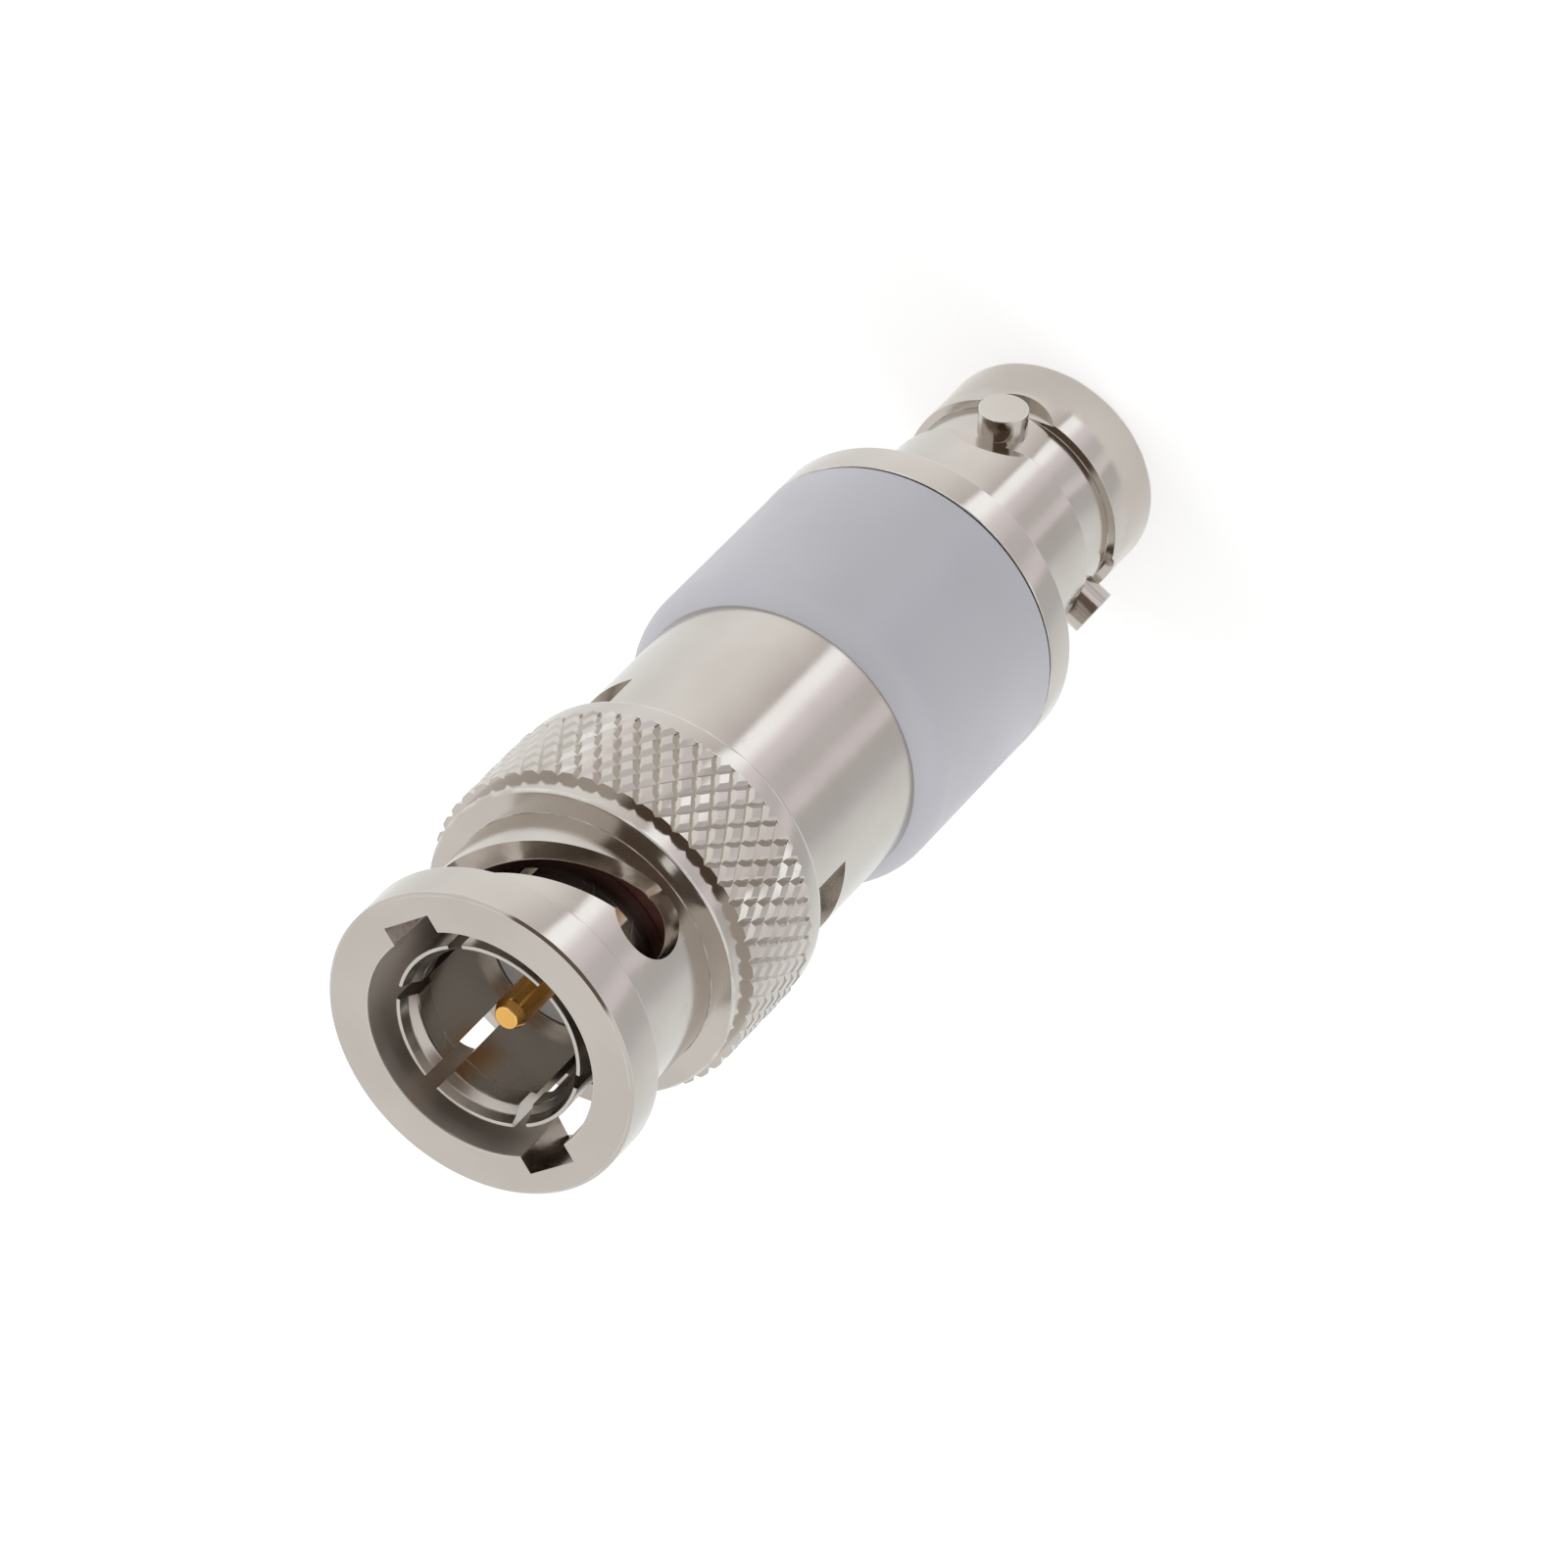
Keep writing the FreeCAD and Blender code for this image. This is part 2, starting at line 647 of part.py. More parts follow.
def wave_washer():
    """Spring washer between the thrust washer and the flange of the plug body."""
    inner = neck_radius + WAVE_WASHER_CLEARANCE
    outer = nut_cavity_radius - WAVE_WASHER_EDGE_CLEARANCE
    centre = (thrust_washer_top + body_flange_bottom) / 2
    below = centre - WAVE_WASHER_THICKNESS / 2
    above = centre + WAVE_WASHER_THICKNESS / 2
    corners = [wave_loop(inner, below), wave_loop(outer, below), wave_loop(outer, above), wave_loop(inner, above)]
    faces = []
    for number, loop in enumerate(corners):
        faces.append(Part.makeRuledSurface(loop, corners[(number + 1) % len(corners)]))
    shell = Part.makeShell(faces)
    shell.sewShape()
    return Part.Solid(shell)


def thrust_washer():
    """Flat washer that slides on the neck with the nut."""
    inner = neck_radius + THRUST_WASHER_CLEARANCE
    outer = nut_cavity_radius - THRUST_WASHER_EDGE_CLEARANCE
    return tube(inner, outer, thrust_washer_bottom, thrust_washer_top)


def retaining_ring():
    """Split ring in the groove of the nut, behind the thrust washer."""
    inner = neck_radius + RING_CLEARANCE
    ring = tube(inner, ring_groove_radius - STOP_GAP, ring_bottom, ring_top)
    return ring.cut(saw_cut(180, RING_SPLIT, 2 * ring_groove_radius, ring_bottom, ring_top))


def knurl_point(column, row):
    """Corner of the knurl: groove crossings and diamond peaks take turns both ways."""
    radius = knurl_root_radius if (column + row) % 2 == 0 else knurl_tip_radius
    turn = math.pi * column / KNURL_START_COUNT
    height = knurl_bottom + (knurl_top - knurl_bottom) * row / KNURL_ROW_COUNT
    return FreeCAD.Vector(radius * math.cos(turn), radius * math.sin(turn), height)


def flat_face(*corners):
    """Plane face with straight edges."""
    return Part.Face(Part.makePolygon(list(corners) + [corners[0]]))


def knurl_band():
    """Band of diamonds where two families of helical grooves cross, each peak a pyramid."""
    columns = 2 * KNURL_START_COUNT
    faces = []
    for row in range(KNURL_ROW_COUNT):
        for column in range(columns):
            low, high = knurl_point(column, row), knurl_point(column, row + 1)
            next_low, next_high = knurl_point(column + 1, row), knurl_point(column + 1, row + 1)
            if (column + row) % 2 == 0:
                faces += [flat_face(low, next_low, next_high), flat_face(low, next_high, high)]
            else:
                faces += [flat_face(low, next_low, high), flat_face(next_low, next_high, high)]
    for row in (0, KNURL_ROW_COUNT):
        faces.append(flat_face(*[knurl_point(column, row) for column in range(columns)]))
    shell = Part.makeShell(faces)
    shell.sewShape()
    core = Part.makeCylinder((ring_groove_radius + collar_radius) / 2, front)
    return Part.Solid(shell).cut(core)


def nut_blank():
    """Turned form of the nut: bell, waist, collar and rear rim, bored from both ends."""
    return (
        Outline(nut_recess_radius, nut_bottom)
        .to(nut_rim_radius - NUT_REAR_CHAMFER, nut_bottom)
        .to(nut_rim_radius, nut_bottom + NUT_REAR_CHAMFER)
        .to(nut_rim_radius, knurl_bottom)
        .to(collar_radius, knurl_bottom)
        .to(collar_radius, shoulder - COLLAR_ROUNDING)
        .round_to(collar_radius - COLLAR_ROUNDING, shoulder)
        .to(waist_radius, shoulder)
        .to(waist_radius, bell_bottom)
        .to(bell_radius - BELL_CHAMFER, bell_bottom)
        .to(bell_radius, bell_bottom + BELL_CHAMFER)
        .to(bell_radius, front - BELL_CHAMFER)
        .to(bell_radius - BELL_CHAMFER, front)
        .to(nut_bore + NUT_BORE_CHAMFER, front)
        .to(nut_bore, front - NUT_BORE_CHAMFER)
        .to(nut_bore, nut_cavity_top)
        .to(nut_cavity_radius, nut_cavity_top)
        .to(nut_cavity_radius, ring_groove_top)
        .to(ring_groove_radius, ring_groove_top)
        .to(ring_groove_radius, ring_groove_bottom)
        .to(nut_cavity_radius, ring_groove_bottom)
        .to(nut_cavity_radius, nut_recess_top)
        .to(nut_recess_radius, nut_recess_top)
        .turned()
    )


def ramp_cutter():
    """Helical part of a bayonet track, cut right through the waist."""
    sweep = RAMP_END_ANGLE - ENTRY_ANGLE
    climb = RAMP_END_DEPTH - RAMP_START_DEPTH
    nearest = nut_bore - WAIST_WALL
    farthest = waist_radius + WAIST_WALL
    arc_length = math.radians(sweep) * (nearest + farthest) / 2
    half_width = RAMP_WIDTH / math.cos(math.atan2(climb, arc_length)) / 2
    corners = [
        FreeCAD.Vector(nearest, 0, -half_width),
        FreeCAD.Vector(farthest, 0, -half_width),
        FreeCAD.Vector(farthest, 0, half_width),
        FreeCAD.Vector(nearest, 0, half_width),
    ]
    section = Part.makePolygon(corners + [corners[0]])
    path = Part.Wire(Part.makeHelix(climb * 360 / sweep, climb, (nearest + farthest) / 2))
    cutter = path.makePipeShell([section], True, True)
    cutter.rotate(ORIGIN, UP, -90)
    cutter.translate(FreeCAD.Vector(0, 0, front - RAMP_END_DEPTH))
    return at_angle(cutter, RAMP_END_ANGLE)


def bayonet_track():
    """Cutters of one track: entry groove under the bell, ramp with round ends, and detent."""
    nearest = nut_bore - WAIST_WALL
    farthest = waist_radius + WAIST_WALL
    end_radius = RAMP_WIDTH / 2
    entry_bottom = front - RAMP_START_DEPTH
    return [
        saw_cut(ENTRY_ANGLE, ENTRY_WIDTH, entry_floor, entry_bottom, front),
        cross_hole(ENTRY_ANGLE, end_radius, nearest, farthest, entry_bottom),
        ramp_cutter(),
        cross_hole(RAMP_END_ANGLE, end_radius, nearest, farthest, front - RAMP_END_DEPTH),
        cross_hole(DETENT_ANGLE, DETENT_RADIUS, nearest, farthest, front - DETENT_DEPTH),
    ]


def coupling_nut():
    """Knurled nut with its bayonet tracks."""
    nut = nut_blank().fuse(knurl_band())
    for number in range(TRACKS):
        for cutter in bayonet_track():
            nut = nut.cut(at_angle(cutter, number * 360 / TRACKS))
    return nut


os.makedirs("parts", exist_ok=True)
save(jack_shell(), "jack_shell")
save(jack_outer_insulator(), "jack_outer_insulator")
save(lock_ring(), "lock_ring")
save(guard_contact(), "guard_contact")
save(jack_inner_insulator(), "jack_inner_insulator")
save(socket_contact(), "socket_contact")
save(insulating_sleeve(), "insulating_sleeve")
save(barrel(), "barrel")
save(barrel_insulator(), "barrel_insulator")
save(contact_link(), "contact_link")
save(centre_pin(), "centre_pin")
save(insulator_bushing(), "insulator_bushing")
save(plug_insulator(), "plug_insulator")
save(plug_body(), "plug_body")
save(outer_contact(), "outer_contact")
save(front_gasket(), "front_gasket")
save(wave_washer(), "wave_washer")
save(thrust_washer(), "thrust_washer")
save(retaining_ring(), "retaining_ring")
save(coupling_nut(), "coupling_nut")
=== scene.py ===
"""Looks of a bayonet plug to triaxial jack adapter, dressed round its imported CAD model.

The axis is Z, upwards to the plug. Sizes are millimetres, except in the finishes and for the lamps
and the camera's place, where they are metres. An angle about the axis is in degrees from -Y towards
-X, clockwise seen from the plug.
"""
import logging
import math
from dataclasses import dataclass, field
from enum import Enum
from typing import Sequence

import bpy
import numpy as np
from mathutils import Matrix


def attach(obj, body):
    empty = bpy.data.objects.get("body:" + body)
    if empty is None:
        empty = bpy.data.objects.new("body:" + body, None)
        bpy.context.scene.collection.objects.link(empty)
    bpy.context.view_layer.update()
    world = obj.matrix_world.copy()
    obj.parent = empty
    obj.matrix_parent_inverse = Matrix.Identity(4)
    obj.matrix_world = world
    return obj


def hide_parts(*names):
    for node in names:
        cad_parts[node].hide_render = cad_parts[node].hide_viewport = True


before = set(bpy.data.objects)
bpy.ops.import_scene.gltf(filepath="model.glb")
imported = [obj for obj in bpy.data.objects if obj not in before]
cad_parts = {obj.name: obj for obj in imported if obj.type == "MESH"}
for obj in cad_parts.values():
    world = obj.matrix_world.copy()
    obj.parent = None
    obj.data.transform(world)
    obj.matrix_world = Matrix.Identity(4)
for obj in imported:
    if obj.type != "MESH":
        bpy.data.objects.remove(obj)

LOG = logging.getLogger("adapter")
MM = 0.001
LIGHT_MILLING, HEAVY_MILLING = 0.2, 0.7
VECTOR, FLOAT, COLOR = "NodeSocketVector", "NodeSocketFloat", "NodeSocketColor"
Corner = tuple[float, float, float]
Tint = tuple[float, float, float]
Vector = tuple[float, float, float]
Socket = bpy.types.NodeSocket
Sockets = bpy.types.bpy_prop_collection


class Body(Enum):
    """CAD bodies that pieces ride on."""

    ADAPTER = "adapter"
    THRUST_STACK = "thrust_stack"
    NUT = "nut"


class Slot(Enum):
    """Material slots of the record."""

    NICKEL = "nickel_plate"
    GOLD = "gold_plate"
    INSULATOR = "white_insulator"
    SLEEVE = "grey_sleeve"
    GASKET = "gasket_rubber"
    SPRING = "spring_metal"


# Surfaces


@dataclass
class Section:
    """Half section of a turned piece: points (radius, height), outward normals and a corner mask."""

    points: np.ndarray
    normals: np.ndarray
    corner: np.ndarray


@dataclass
class Skin:
    """A surface in millimetres, ready to become a mesh."""

    points: np.ndarray
    faces: list[list[int]]
    normals: np.ndarray | None = None
    corner: np.ndarray | None = None
    uv: np.ndarray | None = None

    def placed(
        self, x_axis: np.ndarray, y_axis: np.ndarray, z_axis: np.ndarray, origin: np.ndarray
    ) -> "Skin":
        """Carries the surface from its own axes to those of the adapter.

        Args:
            x_axis: where the surface's x points.
            y_axis: where its y points.
            z_axis: where its z points.
            origin: where its origin comes to lie, in millimetres.

        Returns:
            The same surface in its new place.
        """
        turn = np.stack([x_axis, y_axis, z_axis])
        normals = None if self.normals is None else self.normals @ turn
        return Skin(self.points @ turn + origin, self.faces, normals, self.corner, self.uv)


def outward(angle: float) -> np.ndarray:
    """Unit vector from the axis towards an angle about it."""
    turn = math.radians(angle)
    return np.array([-math.sin(turn), -math.cos(turn), 0.0])


def merged(skins: Sequence[Skin]) -> Skin:
    """Puts several surfaces of one kind into one.

    Args:
        skins: surfaces that all have, or all lack, normals, corner masks and UV coordinates.

    Returns:
        One surface with all their faces.
    """
    starts = np.cumsum([0] + [len(skin.points) for skin in skins[:-1]])
    faces = [
        [start + index for index in face]
        for skin, start in zip(skins, starts.tolist())
        for face in skin.faces
    ]
    whole = skins[0].normals is not None
    return Skin(
        np.concatenate([skin.points for skin in skins]),
        faces,
        np.concatenate([skin.normals for skin in skins]) if whole else None,
        np.concatenate([skin.corner for skin in skins]) if whole else None,
        np.concatenate([skin.uv for skin in skins]) if whole else None,
    )


def rounded_section(corners: Sequence[Corner], closed: bool = True, steps: int = 5) -> Section:
    """Rounds each corner of a section that runs up its outside and down its bore.

    Where the corner C is rounded over a length c, A lies c before it and B lies c behind it. The
    rounding is the quadratic curve (1-t)^2 A + 2t(1-t) C + t^2 B for t from 0 to 1, so it starts
    and ends along the two edges. Its normal is its direction turned a quarter to the right.

    Args:
        corners: radius, height and rounding length of each corner.
        closed: whether the last corner joins the first. An open section starts and ends on the axis.
        steps: points along each rounding.

    Returns:
        The section, with a mask that is 1 on outer corners, -1 on inner ones and 0 between them and
        along wide roundings.
    """
    data = np.array(corners, float)
    spot, cut = data[:, :2], np.maximum(data[:, 2], 0.004)
    before = spot - np.roll(spot, 1, axis=0)
    after = np.roll(spot, -1, axis=0) - spot
    if not closed:
        before[0], after[-1] = after[0], before[-1]
    into = before / np.linalg.norm(before, axis=1, keepdims=True)
    out = after / np.linalg.norm(after, axis=1, keepdims=True)
    t = np.linspace(0, 1, steps)[None, :, None]
    start = (spot - cut[:, None] * into)[:, None]
    end = (spot + cut[:, None] * out)[:, None]
    points = (1 - t) ** 2 * start + 2 * t * (1 - t) * spot[:, None] + t ** 2 * end
    way = (1 - t) * into[:, None] + t * out[:, None]
    way /= np.linalg.norm(way, axis=2, keepdims=True)
    normals = np.stack([way[..., 1], -way[..., 0]], axis=2)
    bend = np.sign(into[:, 0] * out[:, 1] - into[:, 1] * out[:, 0])
    small = np.where(cut < 0.4, 1.0, 0.0)
    corner = (bend * small)[:, None] * (4 * t * (1 - t))[..., 0]
    points, normals, corner = points.reshape(-1, 2), normals.reshape(-1, 2), corner.reshape(-1)
    if not closed:
        points, normals, corner = points[steps - 1 :], normals[steps - 1 :], corner[steps - 1 :]
        points, normals, corner = points[: 1 - steps], normals[: 1 - steps], corner[: 1 - steps]
        points[0], points[-1] = spot[0], spot[-1]
    return Section(points, normals, corner)


def grid_quads(rows: int, columns: int, close_rows: bool, close_columns: bool) -> np.ndarray:
    """Quads of a grid of points that is numbered row by row.

    Args:
        rows: points along the section.
        columns: points round the axis.
        close_rows: whether the last row joins the first.
        close_columns: whether the last column joins the first.

    Returns:
        Array of four point numbers a quad, facing outwards.
    """
    row = np.arange(rows if close_rows else rows - 1)[:, None]
    column = np.arange(columns if close_columns else columns - 1)[None, :]
    next_row, next_column = (row + 1) % rows, (column + 1) % columns
    corners = [
        row * columns + column,
        row * columns + next_column,
        next_row * columns + next_column,
        next_row * columns + column,
    ]
    return np.stack(np.broadcast_arrays(*corners), axis=-1).reshape(-1, 4)


def grid_uv(
    lengths: np.ndarray, rows: int, columns: int, close_rows: bool, close_columns: bool
) -> np.ndarray:
    """UV coordinates of a grid's quads: U along the section in millimetres, V once round the axis.

    Args:
        lengths: way along the section to each row, with one more entry where the rows close.
        rows: points along the section.
        columns: points round the axis.
        close_rows: whether the last row joins the first.
        close_columns: whether the last column joins the first.

    Returns:
        Array of one pair a quad's corner.
    """
    row = np.arange(rows if close_rows else rows - 1)[:, None]
    column = np.arange(columns if close_columns else columns - 1)[None, :]
    turns = columns if close_columns else columns - 1
    here, onward = lengths[row], lengths[row + 1]
    u = np.stack([here, here, onward, onward], axis=-1)
    v = np.stack(np.broadcast_arrays(column, column + 1, column + 1, column), axis=-1) / turns
    u, v = np.broadcast_arrays(u, v)
    return np.stack([u, v], axis=-1).reshape(-1, 2)


def section_lengths(section: Section, closed: bool) -> np.ndarray:
    """Way along a section to each of its points, and back to the first where it is closed."""
    points = np.vstack([section.points, section.points[:1]]) if closed else section.points
    return np.concatenate([[0.0], np.cumsum(np.linalg.norm(np.diff(points, axis=0), axis=1))])


def turned(corners: Sequence[Corner], closed: bool = True, columns: int = 256, steps: int = 5) -> Skin:
    """Turns a section about the axis.

    A section point (r, z) at the angle a about the axis lies at (r cos a, r sin a, z). The two ends
    of an open section are single points on the axis, joined to their neighbours by triangles.

    Args:
        corners: radius, height and rounding length of each corner of the section.
        closed: whether the section closes in itself, as round a bore.
        columns: points round the axis.
        steps: points along each rounding.

    Returns:
        The closed surface.
    """
    section = rounded_section(corners, closed, steps)
    a = np.arange(columns) * 2 * math.pi / columns
    ring = np.stack([np.cos(a), np.sin(a)], axis=1)
    radius, height = section.points[:, None, 0], section.points[:, None, 1]
    points = np.stack([radius * ring[:, 0], radius * ring[:, 1], height + 0 * ring[:, 0]], axis=2)
    lean, rise = section.normals[:, None, 0], section.normals[:, None, 1]
    normals = np.stack([lean * ring[:, 0], lean * ring[:, 1], rise + 0 * ring[:, 0]], axis=2)
    corner = np.repeat(section.corner[:, None], columns, axis=1)
    lengths = section_lengths(section, closed)
    if closed:
        rows = len(section.points)
        faces = grid_quads(rows, columns, True, True)
        uv = grid_uv(lengths, rows, columns, True, True)
        return Skin(points.reshape(-1, 3), faces.tolist(), normals.reshape(-1, 3), corner.reshape(-1), uv)
    rows = len(section.points) - 2
    quads = grid_quads(rows, columns, False, True)
    uv = grid_uv(lengths[1:-1], rows, columns, False, True)
    here = np.arange(columns)
    following = (here + 1) % columns
    last = (rows - 1) * columns
    first_pole, last_pole = rows * columns, rows * columns + 1
    low_fan = np.stack([np.full(columns, first_pole), following, here], axis=1)
    high_fan = np.stack([last + here, last + following, np.full(columns, last_pole)], axis=1)
    fans = [((0, here), (1, here + 1), (1, here)), ((-2, here), (-2, here + 1), (-1, here))]
    low_uv, high_uv = [
        np.stack([np.stack([np.full(columns, lengths[k]), v / columns], axis=1) for k, v in fan], axis=1)
        for fan in fans
    ]
    ends = section.points[[0, -1]]
    sides = section.normals[[0, -1]]
    poles = np.stack([np.zeros(2), np.zeros(2), ends[:, 1]], axis=1)
    pole_normals = np.stack([np.zeros(2), np.zeros(2), np.sign(sides[:, 1])], axis=1)
    return Skin(
        np.vstack([points[1:-1].reshape(-1, 3), poles]),
        quads.tolist() + low_fan.tolist() + high_fan.tolist(),
        np.vstack([normals[1:-1].reshape(-1, 3), pole_normals]),
        np.concatenate([corner[1:-1].reshape(-1), [0.0, 0.0]]),
        np.concatenate([uv, low_uv.reshape(-1, 2), high_uv.reshape(-1, 2)]),
    )


def tine(corners: Sequence[Corner], middle: float, count: int, slot: float, columns: int) -> Skin:
    """One of the equal tines that parallel saw cuts leave of a turned tube.

    A section point of radius r spans the angles middle + v (180/count - asin(slot/2r)) for v from
    -1 to 1, so the cuts' walls are plane and parallel. Two plane caps close the ends.

    Args:
        corners: radius, height and rounding length of each corner of the tine's section.
        middle: angle of the tine's middle about the axis, in degrees.
        count: number of tines.
        slot: width of the cuts.
        columns: points across the tine.

    Returns:
        The closed surface.
    """
    section = rounded_section(corners)
    radius, height = section.points[:, 0], section.points[:, 1]
    reach = math.pi / count - np.arcsin(slot / 2 / radius)
    v = np.linspace(-1, 1, columns)
    a = math.radians(-90 - middle) + reach[:, None] * v[None, :]
    flat = np.zeros_like(a)
    far, level = radius[:, None], height[:, None] + flat
    points = np.stack([far * np.cos(a), far * np.sin(a), level], axis=2)
    lean, rise = section.normals[:, 0, None], section.normals[:, 1, None]
    normals = np.stack([lean * np.cos(a), lean * np.sin(a), rise + flat], axis=2)
    rows = len(radius)
    quads = grid_quads(rows, columns, True, False)
    uv = grid_uv(section_lengths(section, True), rows, columns, True, False)
    grid = points.reshape(-1, 3)
    caps = np.concatenate([points[:, 0], points[::-1, -1]])
    total = len(grid)
    across = np.stack([np.sin(a), -np.cos(a), flat], axis=2)
    cap_normals = np.concatenate([across[:, 0], -across[::-1, -1]])
    cap_faces = [list(range(total, total + rows)), list(range(total + rows, total + 2 * rows))]
    cap_uv = np.concatenate([section.points, section.points[::-1]])
    corner = np.concatenate([np.repeat(section.corner, columns), np.zeros(2 * rows)])
    return Skin(
        np.vstack([grid, caps]),
        quads.tolist() + cap_faces,
        np.vstack([normals.reshape(-1, 3), cap_normals]),
        corner,
        np.concatenate([uv, cap_uv]),
    )


def all_tines(
    corners: Sequence[Corner], first: float, count: int, slot: float, columns: int = 40
) -> list[Skin]:
    """Every tine of a sawn tube.

    Args:
        corners: radius, height and rounding length of each corner of a tine's section.
        first: angle of the first tine's middle about the axis, in degrees.
        count: number of tines.
        slot: width of the cuts.
        columns: points across a tine.

    Returns:
        The tines in order about the axis.
    """
    step = 360 / count
    return [tine(corners, first + step * number, count, slot, columns) for number in range(count)]


def prism(outline: np.ndarray, near: float, far: float, angle: float) -> Skin:
    """Carries an outline in the plane square to a radius along that radius.

    An outline point (s, z) at the distance d lies at d e + s t + z k, where e points from the axis
    towards the angle, t is square to it and level, and k points up.

    Args:
        outline: points (s, z) of the outline, counter-clockwise seen from outside.
        near: distance from the axis at which it starts.
        far: distance at which it ends.
        angle: angle of the radius about the axis, in degrees.

    Returns:
        The closed cutter, with no normals of its own.
    """
    e = outward(angle)
    t = np.array([-e[1], e[0], 0.0])
    level = outline[:, :1] * t + outline[:, 1:] * np.array([0.0, 0.0, 1.0])
    points = np.vstack([level + near * e, level + far * e])
    count = len(outline)
    here = np.arange(count)
    following = (here + 1) % count
    sides = np.stack([here, following, following + count, here + count], axis=1)
    return Skin(points, sides.tolist() + [here[::-1].tolist(), (here + count).tolist()])


def circle(radius: float, height: float, count: int = 96) -> np.ndarray:
    """Outline (radius cos a, height + radius sin a) of a round cutter."""
    a = np.arange(count) * 2 * math.pi / count
    return np.stack([radius * np.cos(a), height + radius * np.sin(a)], axis=1)


def rectangle(width: float, bottom: float, top: float) -> np.ndarray:
    """Outline of a straight cutter."""
    half = width / 2
    return np.array([[-half, bottom], [half, bottom], [half, top], [-half, top]])


# Meshes


def made(name: str, skin: Skin) -> bpy.types.Object:
    """Makes an object of a surface.

    Args:
        name: name of the object.
        skin: its surface in millimetres.

    Returns:
        The object, at the origin, with its corner mask, UV map and smooth normals.
    """
    mesh = bpy.data.meshes.new(name)
    mesh.from_pydata((skin.points * MM).tolist(), [], skin.faces)
    if skin.corner is not None:
        mask = mesh.attributes.new("corner", "FLOAT", "POINT")
        mask.data.foreach_set("value", skin.corner.astype(np.float32))
        layer = mesh.uv_layers.new(name="turned")
        layer.data.foreach_set("uv", skin.uv.astype(np.float32).ravel())
    mesh.shade_smooth()
    if skin.normals is not None:
        mesh.normals_split_custom_set_from_vertices(skin.normals.tolist())
    piece = bpy.data.objects.new(name, mesh)
    bpy.context.scene.collection.objects.link(piece)
    return piece


def carved(
    piece: bpy.types.Object, cutters: Sequence[Skin], milling: float, crisp: float = 24.0
) -> bpy.types.Object:
    """Cuts surfaces out of a piece, marks the walls they leave and lets large faces keep their normals.

    Args:
        piece: the object to cut.
        cutters: closed surfaces, cut out one after the other.
        milling: how much the milling cutter marks the walls, from 0 to 1.
        crisp: angle in degrees from which an edge stays sharp.

    Returns:
        The same object with its new mesh, whose attribute milled is above 0 on the cuts' walls.
    """
    tools = [made(f"cutter_{number}", cutter) for number, cutter in enumerate(cutters)]
    for tool in tools:
        mask = tool.data.attributes.new("milled", "FLOAT", "FACE")
        mask.data.foreach_set("value", np.full(len(tool.data.polygons), milling, np.float32))
        cut = piece.modifiers.new(tool.name, "BOOLEAN")
        cut.operation = "DIFFERENCE"
        cut.solver = "EXACT"
        cut.object = tool
    plain = piece.data
    piece.data = bpy.data.meshes.new_from_object(piece.evaluated_get(bpy.context.evaluated_depsgraph_get()))
    piece.data.name = plain.name
    piece.modifiers.clear()
    bpy.data.meshes.remove(plain)
    for tool in tools:
        shape = tool.data
        bpy.data.objects.remove(tool)
        bpy.data.meshes.remove(shape)
    if "custom_normal" in piece.data.attributes:
        piece.data.attributes.remove(piece.data.attributes["custom_normal"])
    piece.data.shade_smooth()
    piece.data.set_sharp_from_angle(angle=math.radians(crisp))
    weigh = piece.modifiers.new("large faces first", "WEIGHTED_NORMAL")
    weigh.mode = "FACE_AREA"
    weigh.weight = 100
    weigh.keep_sharp = True
    return piece


def fitted(
    piece: bpy.types.Object, finish: "Finish", body: Body, slot: Slot, *nodes: str
) -> bpy.types.Object:
    """Gives a piece its finish and its body, and hides the CAD nodes that it stands for.

    Args:
        piece: the finished object.
        finish: what it is covered with.
        body: the CAD body that it moves with.
        slot: the record's slot that its finish belongs to; not used.
        nodes: names of the CAD nodes that it stands for.

    Returns:
        The same object.
    """
    piece.data.materials.clear()
    piece.data.materials.append(finish.material())
    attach(piece, body.value)
    if nodes:
        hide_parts(*nodes)
    LOG.info("%s: %d faces, rides on %s", piece.name, len(piece.data.polygons), body.value)
    return piece


# Node trees


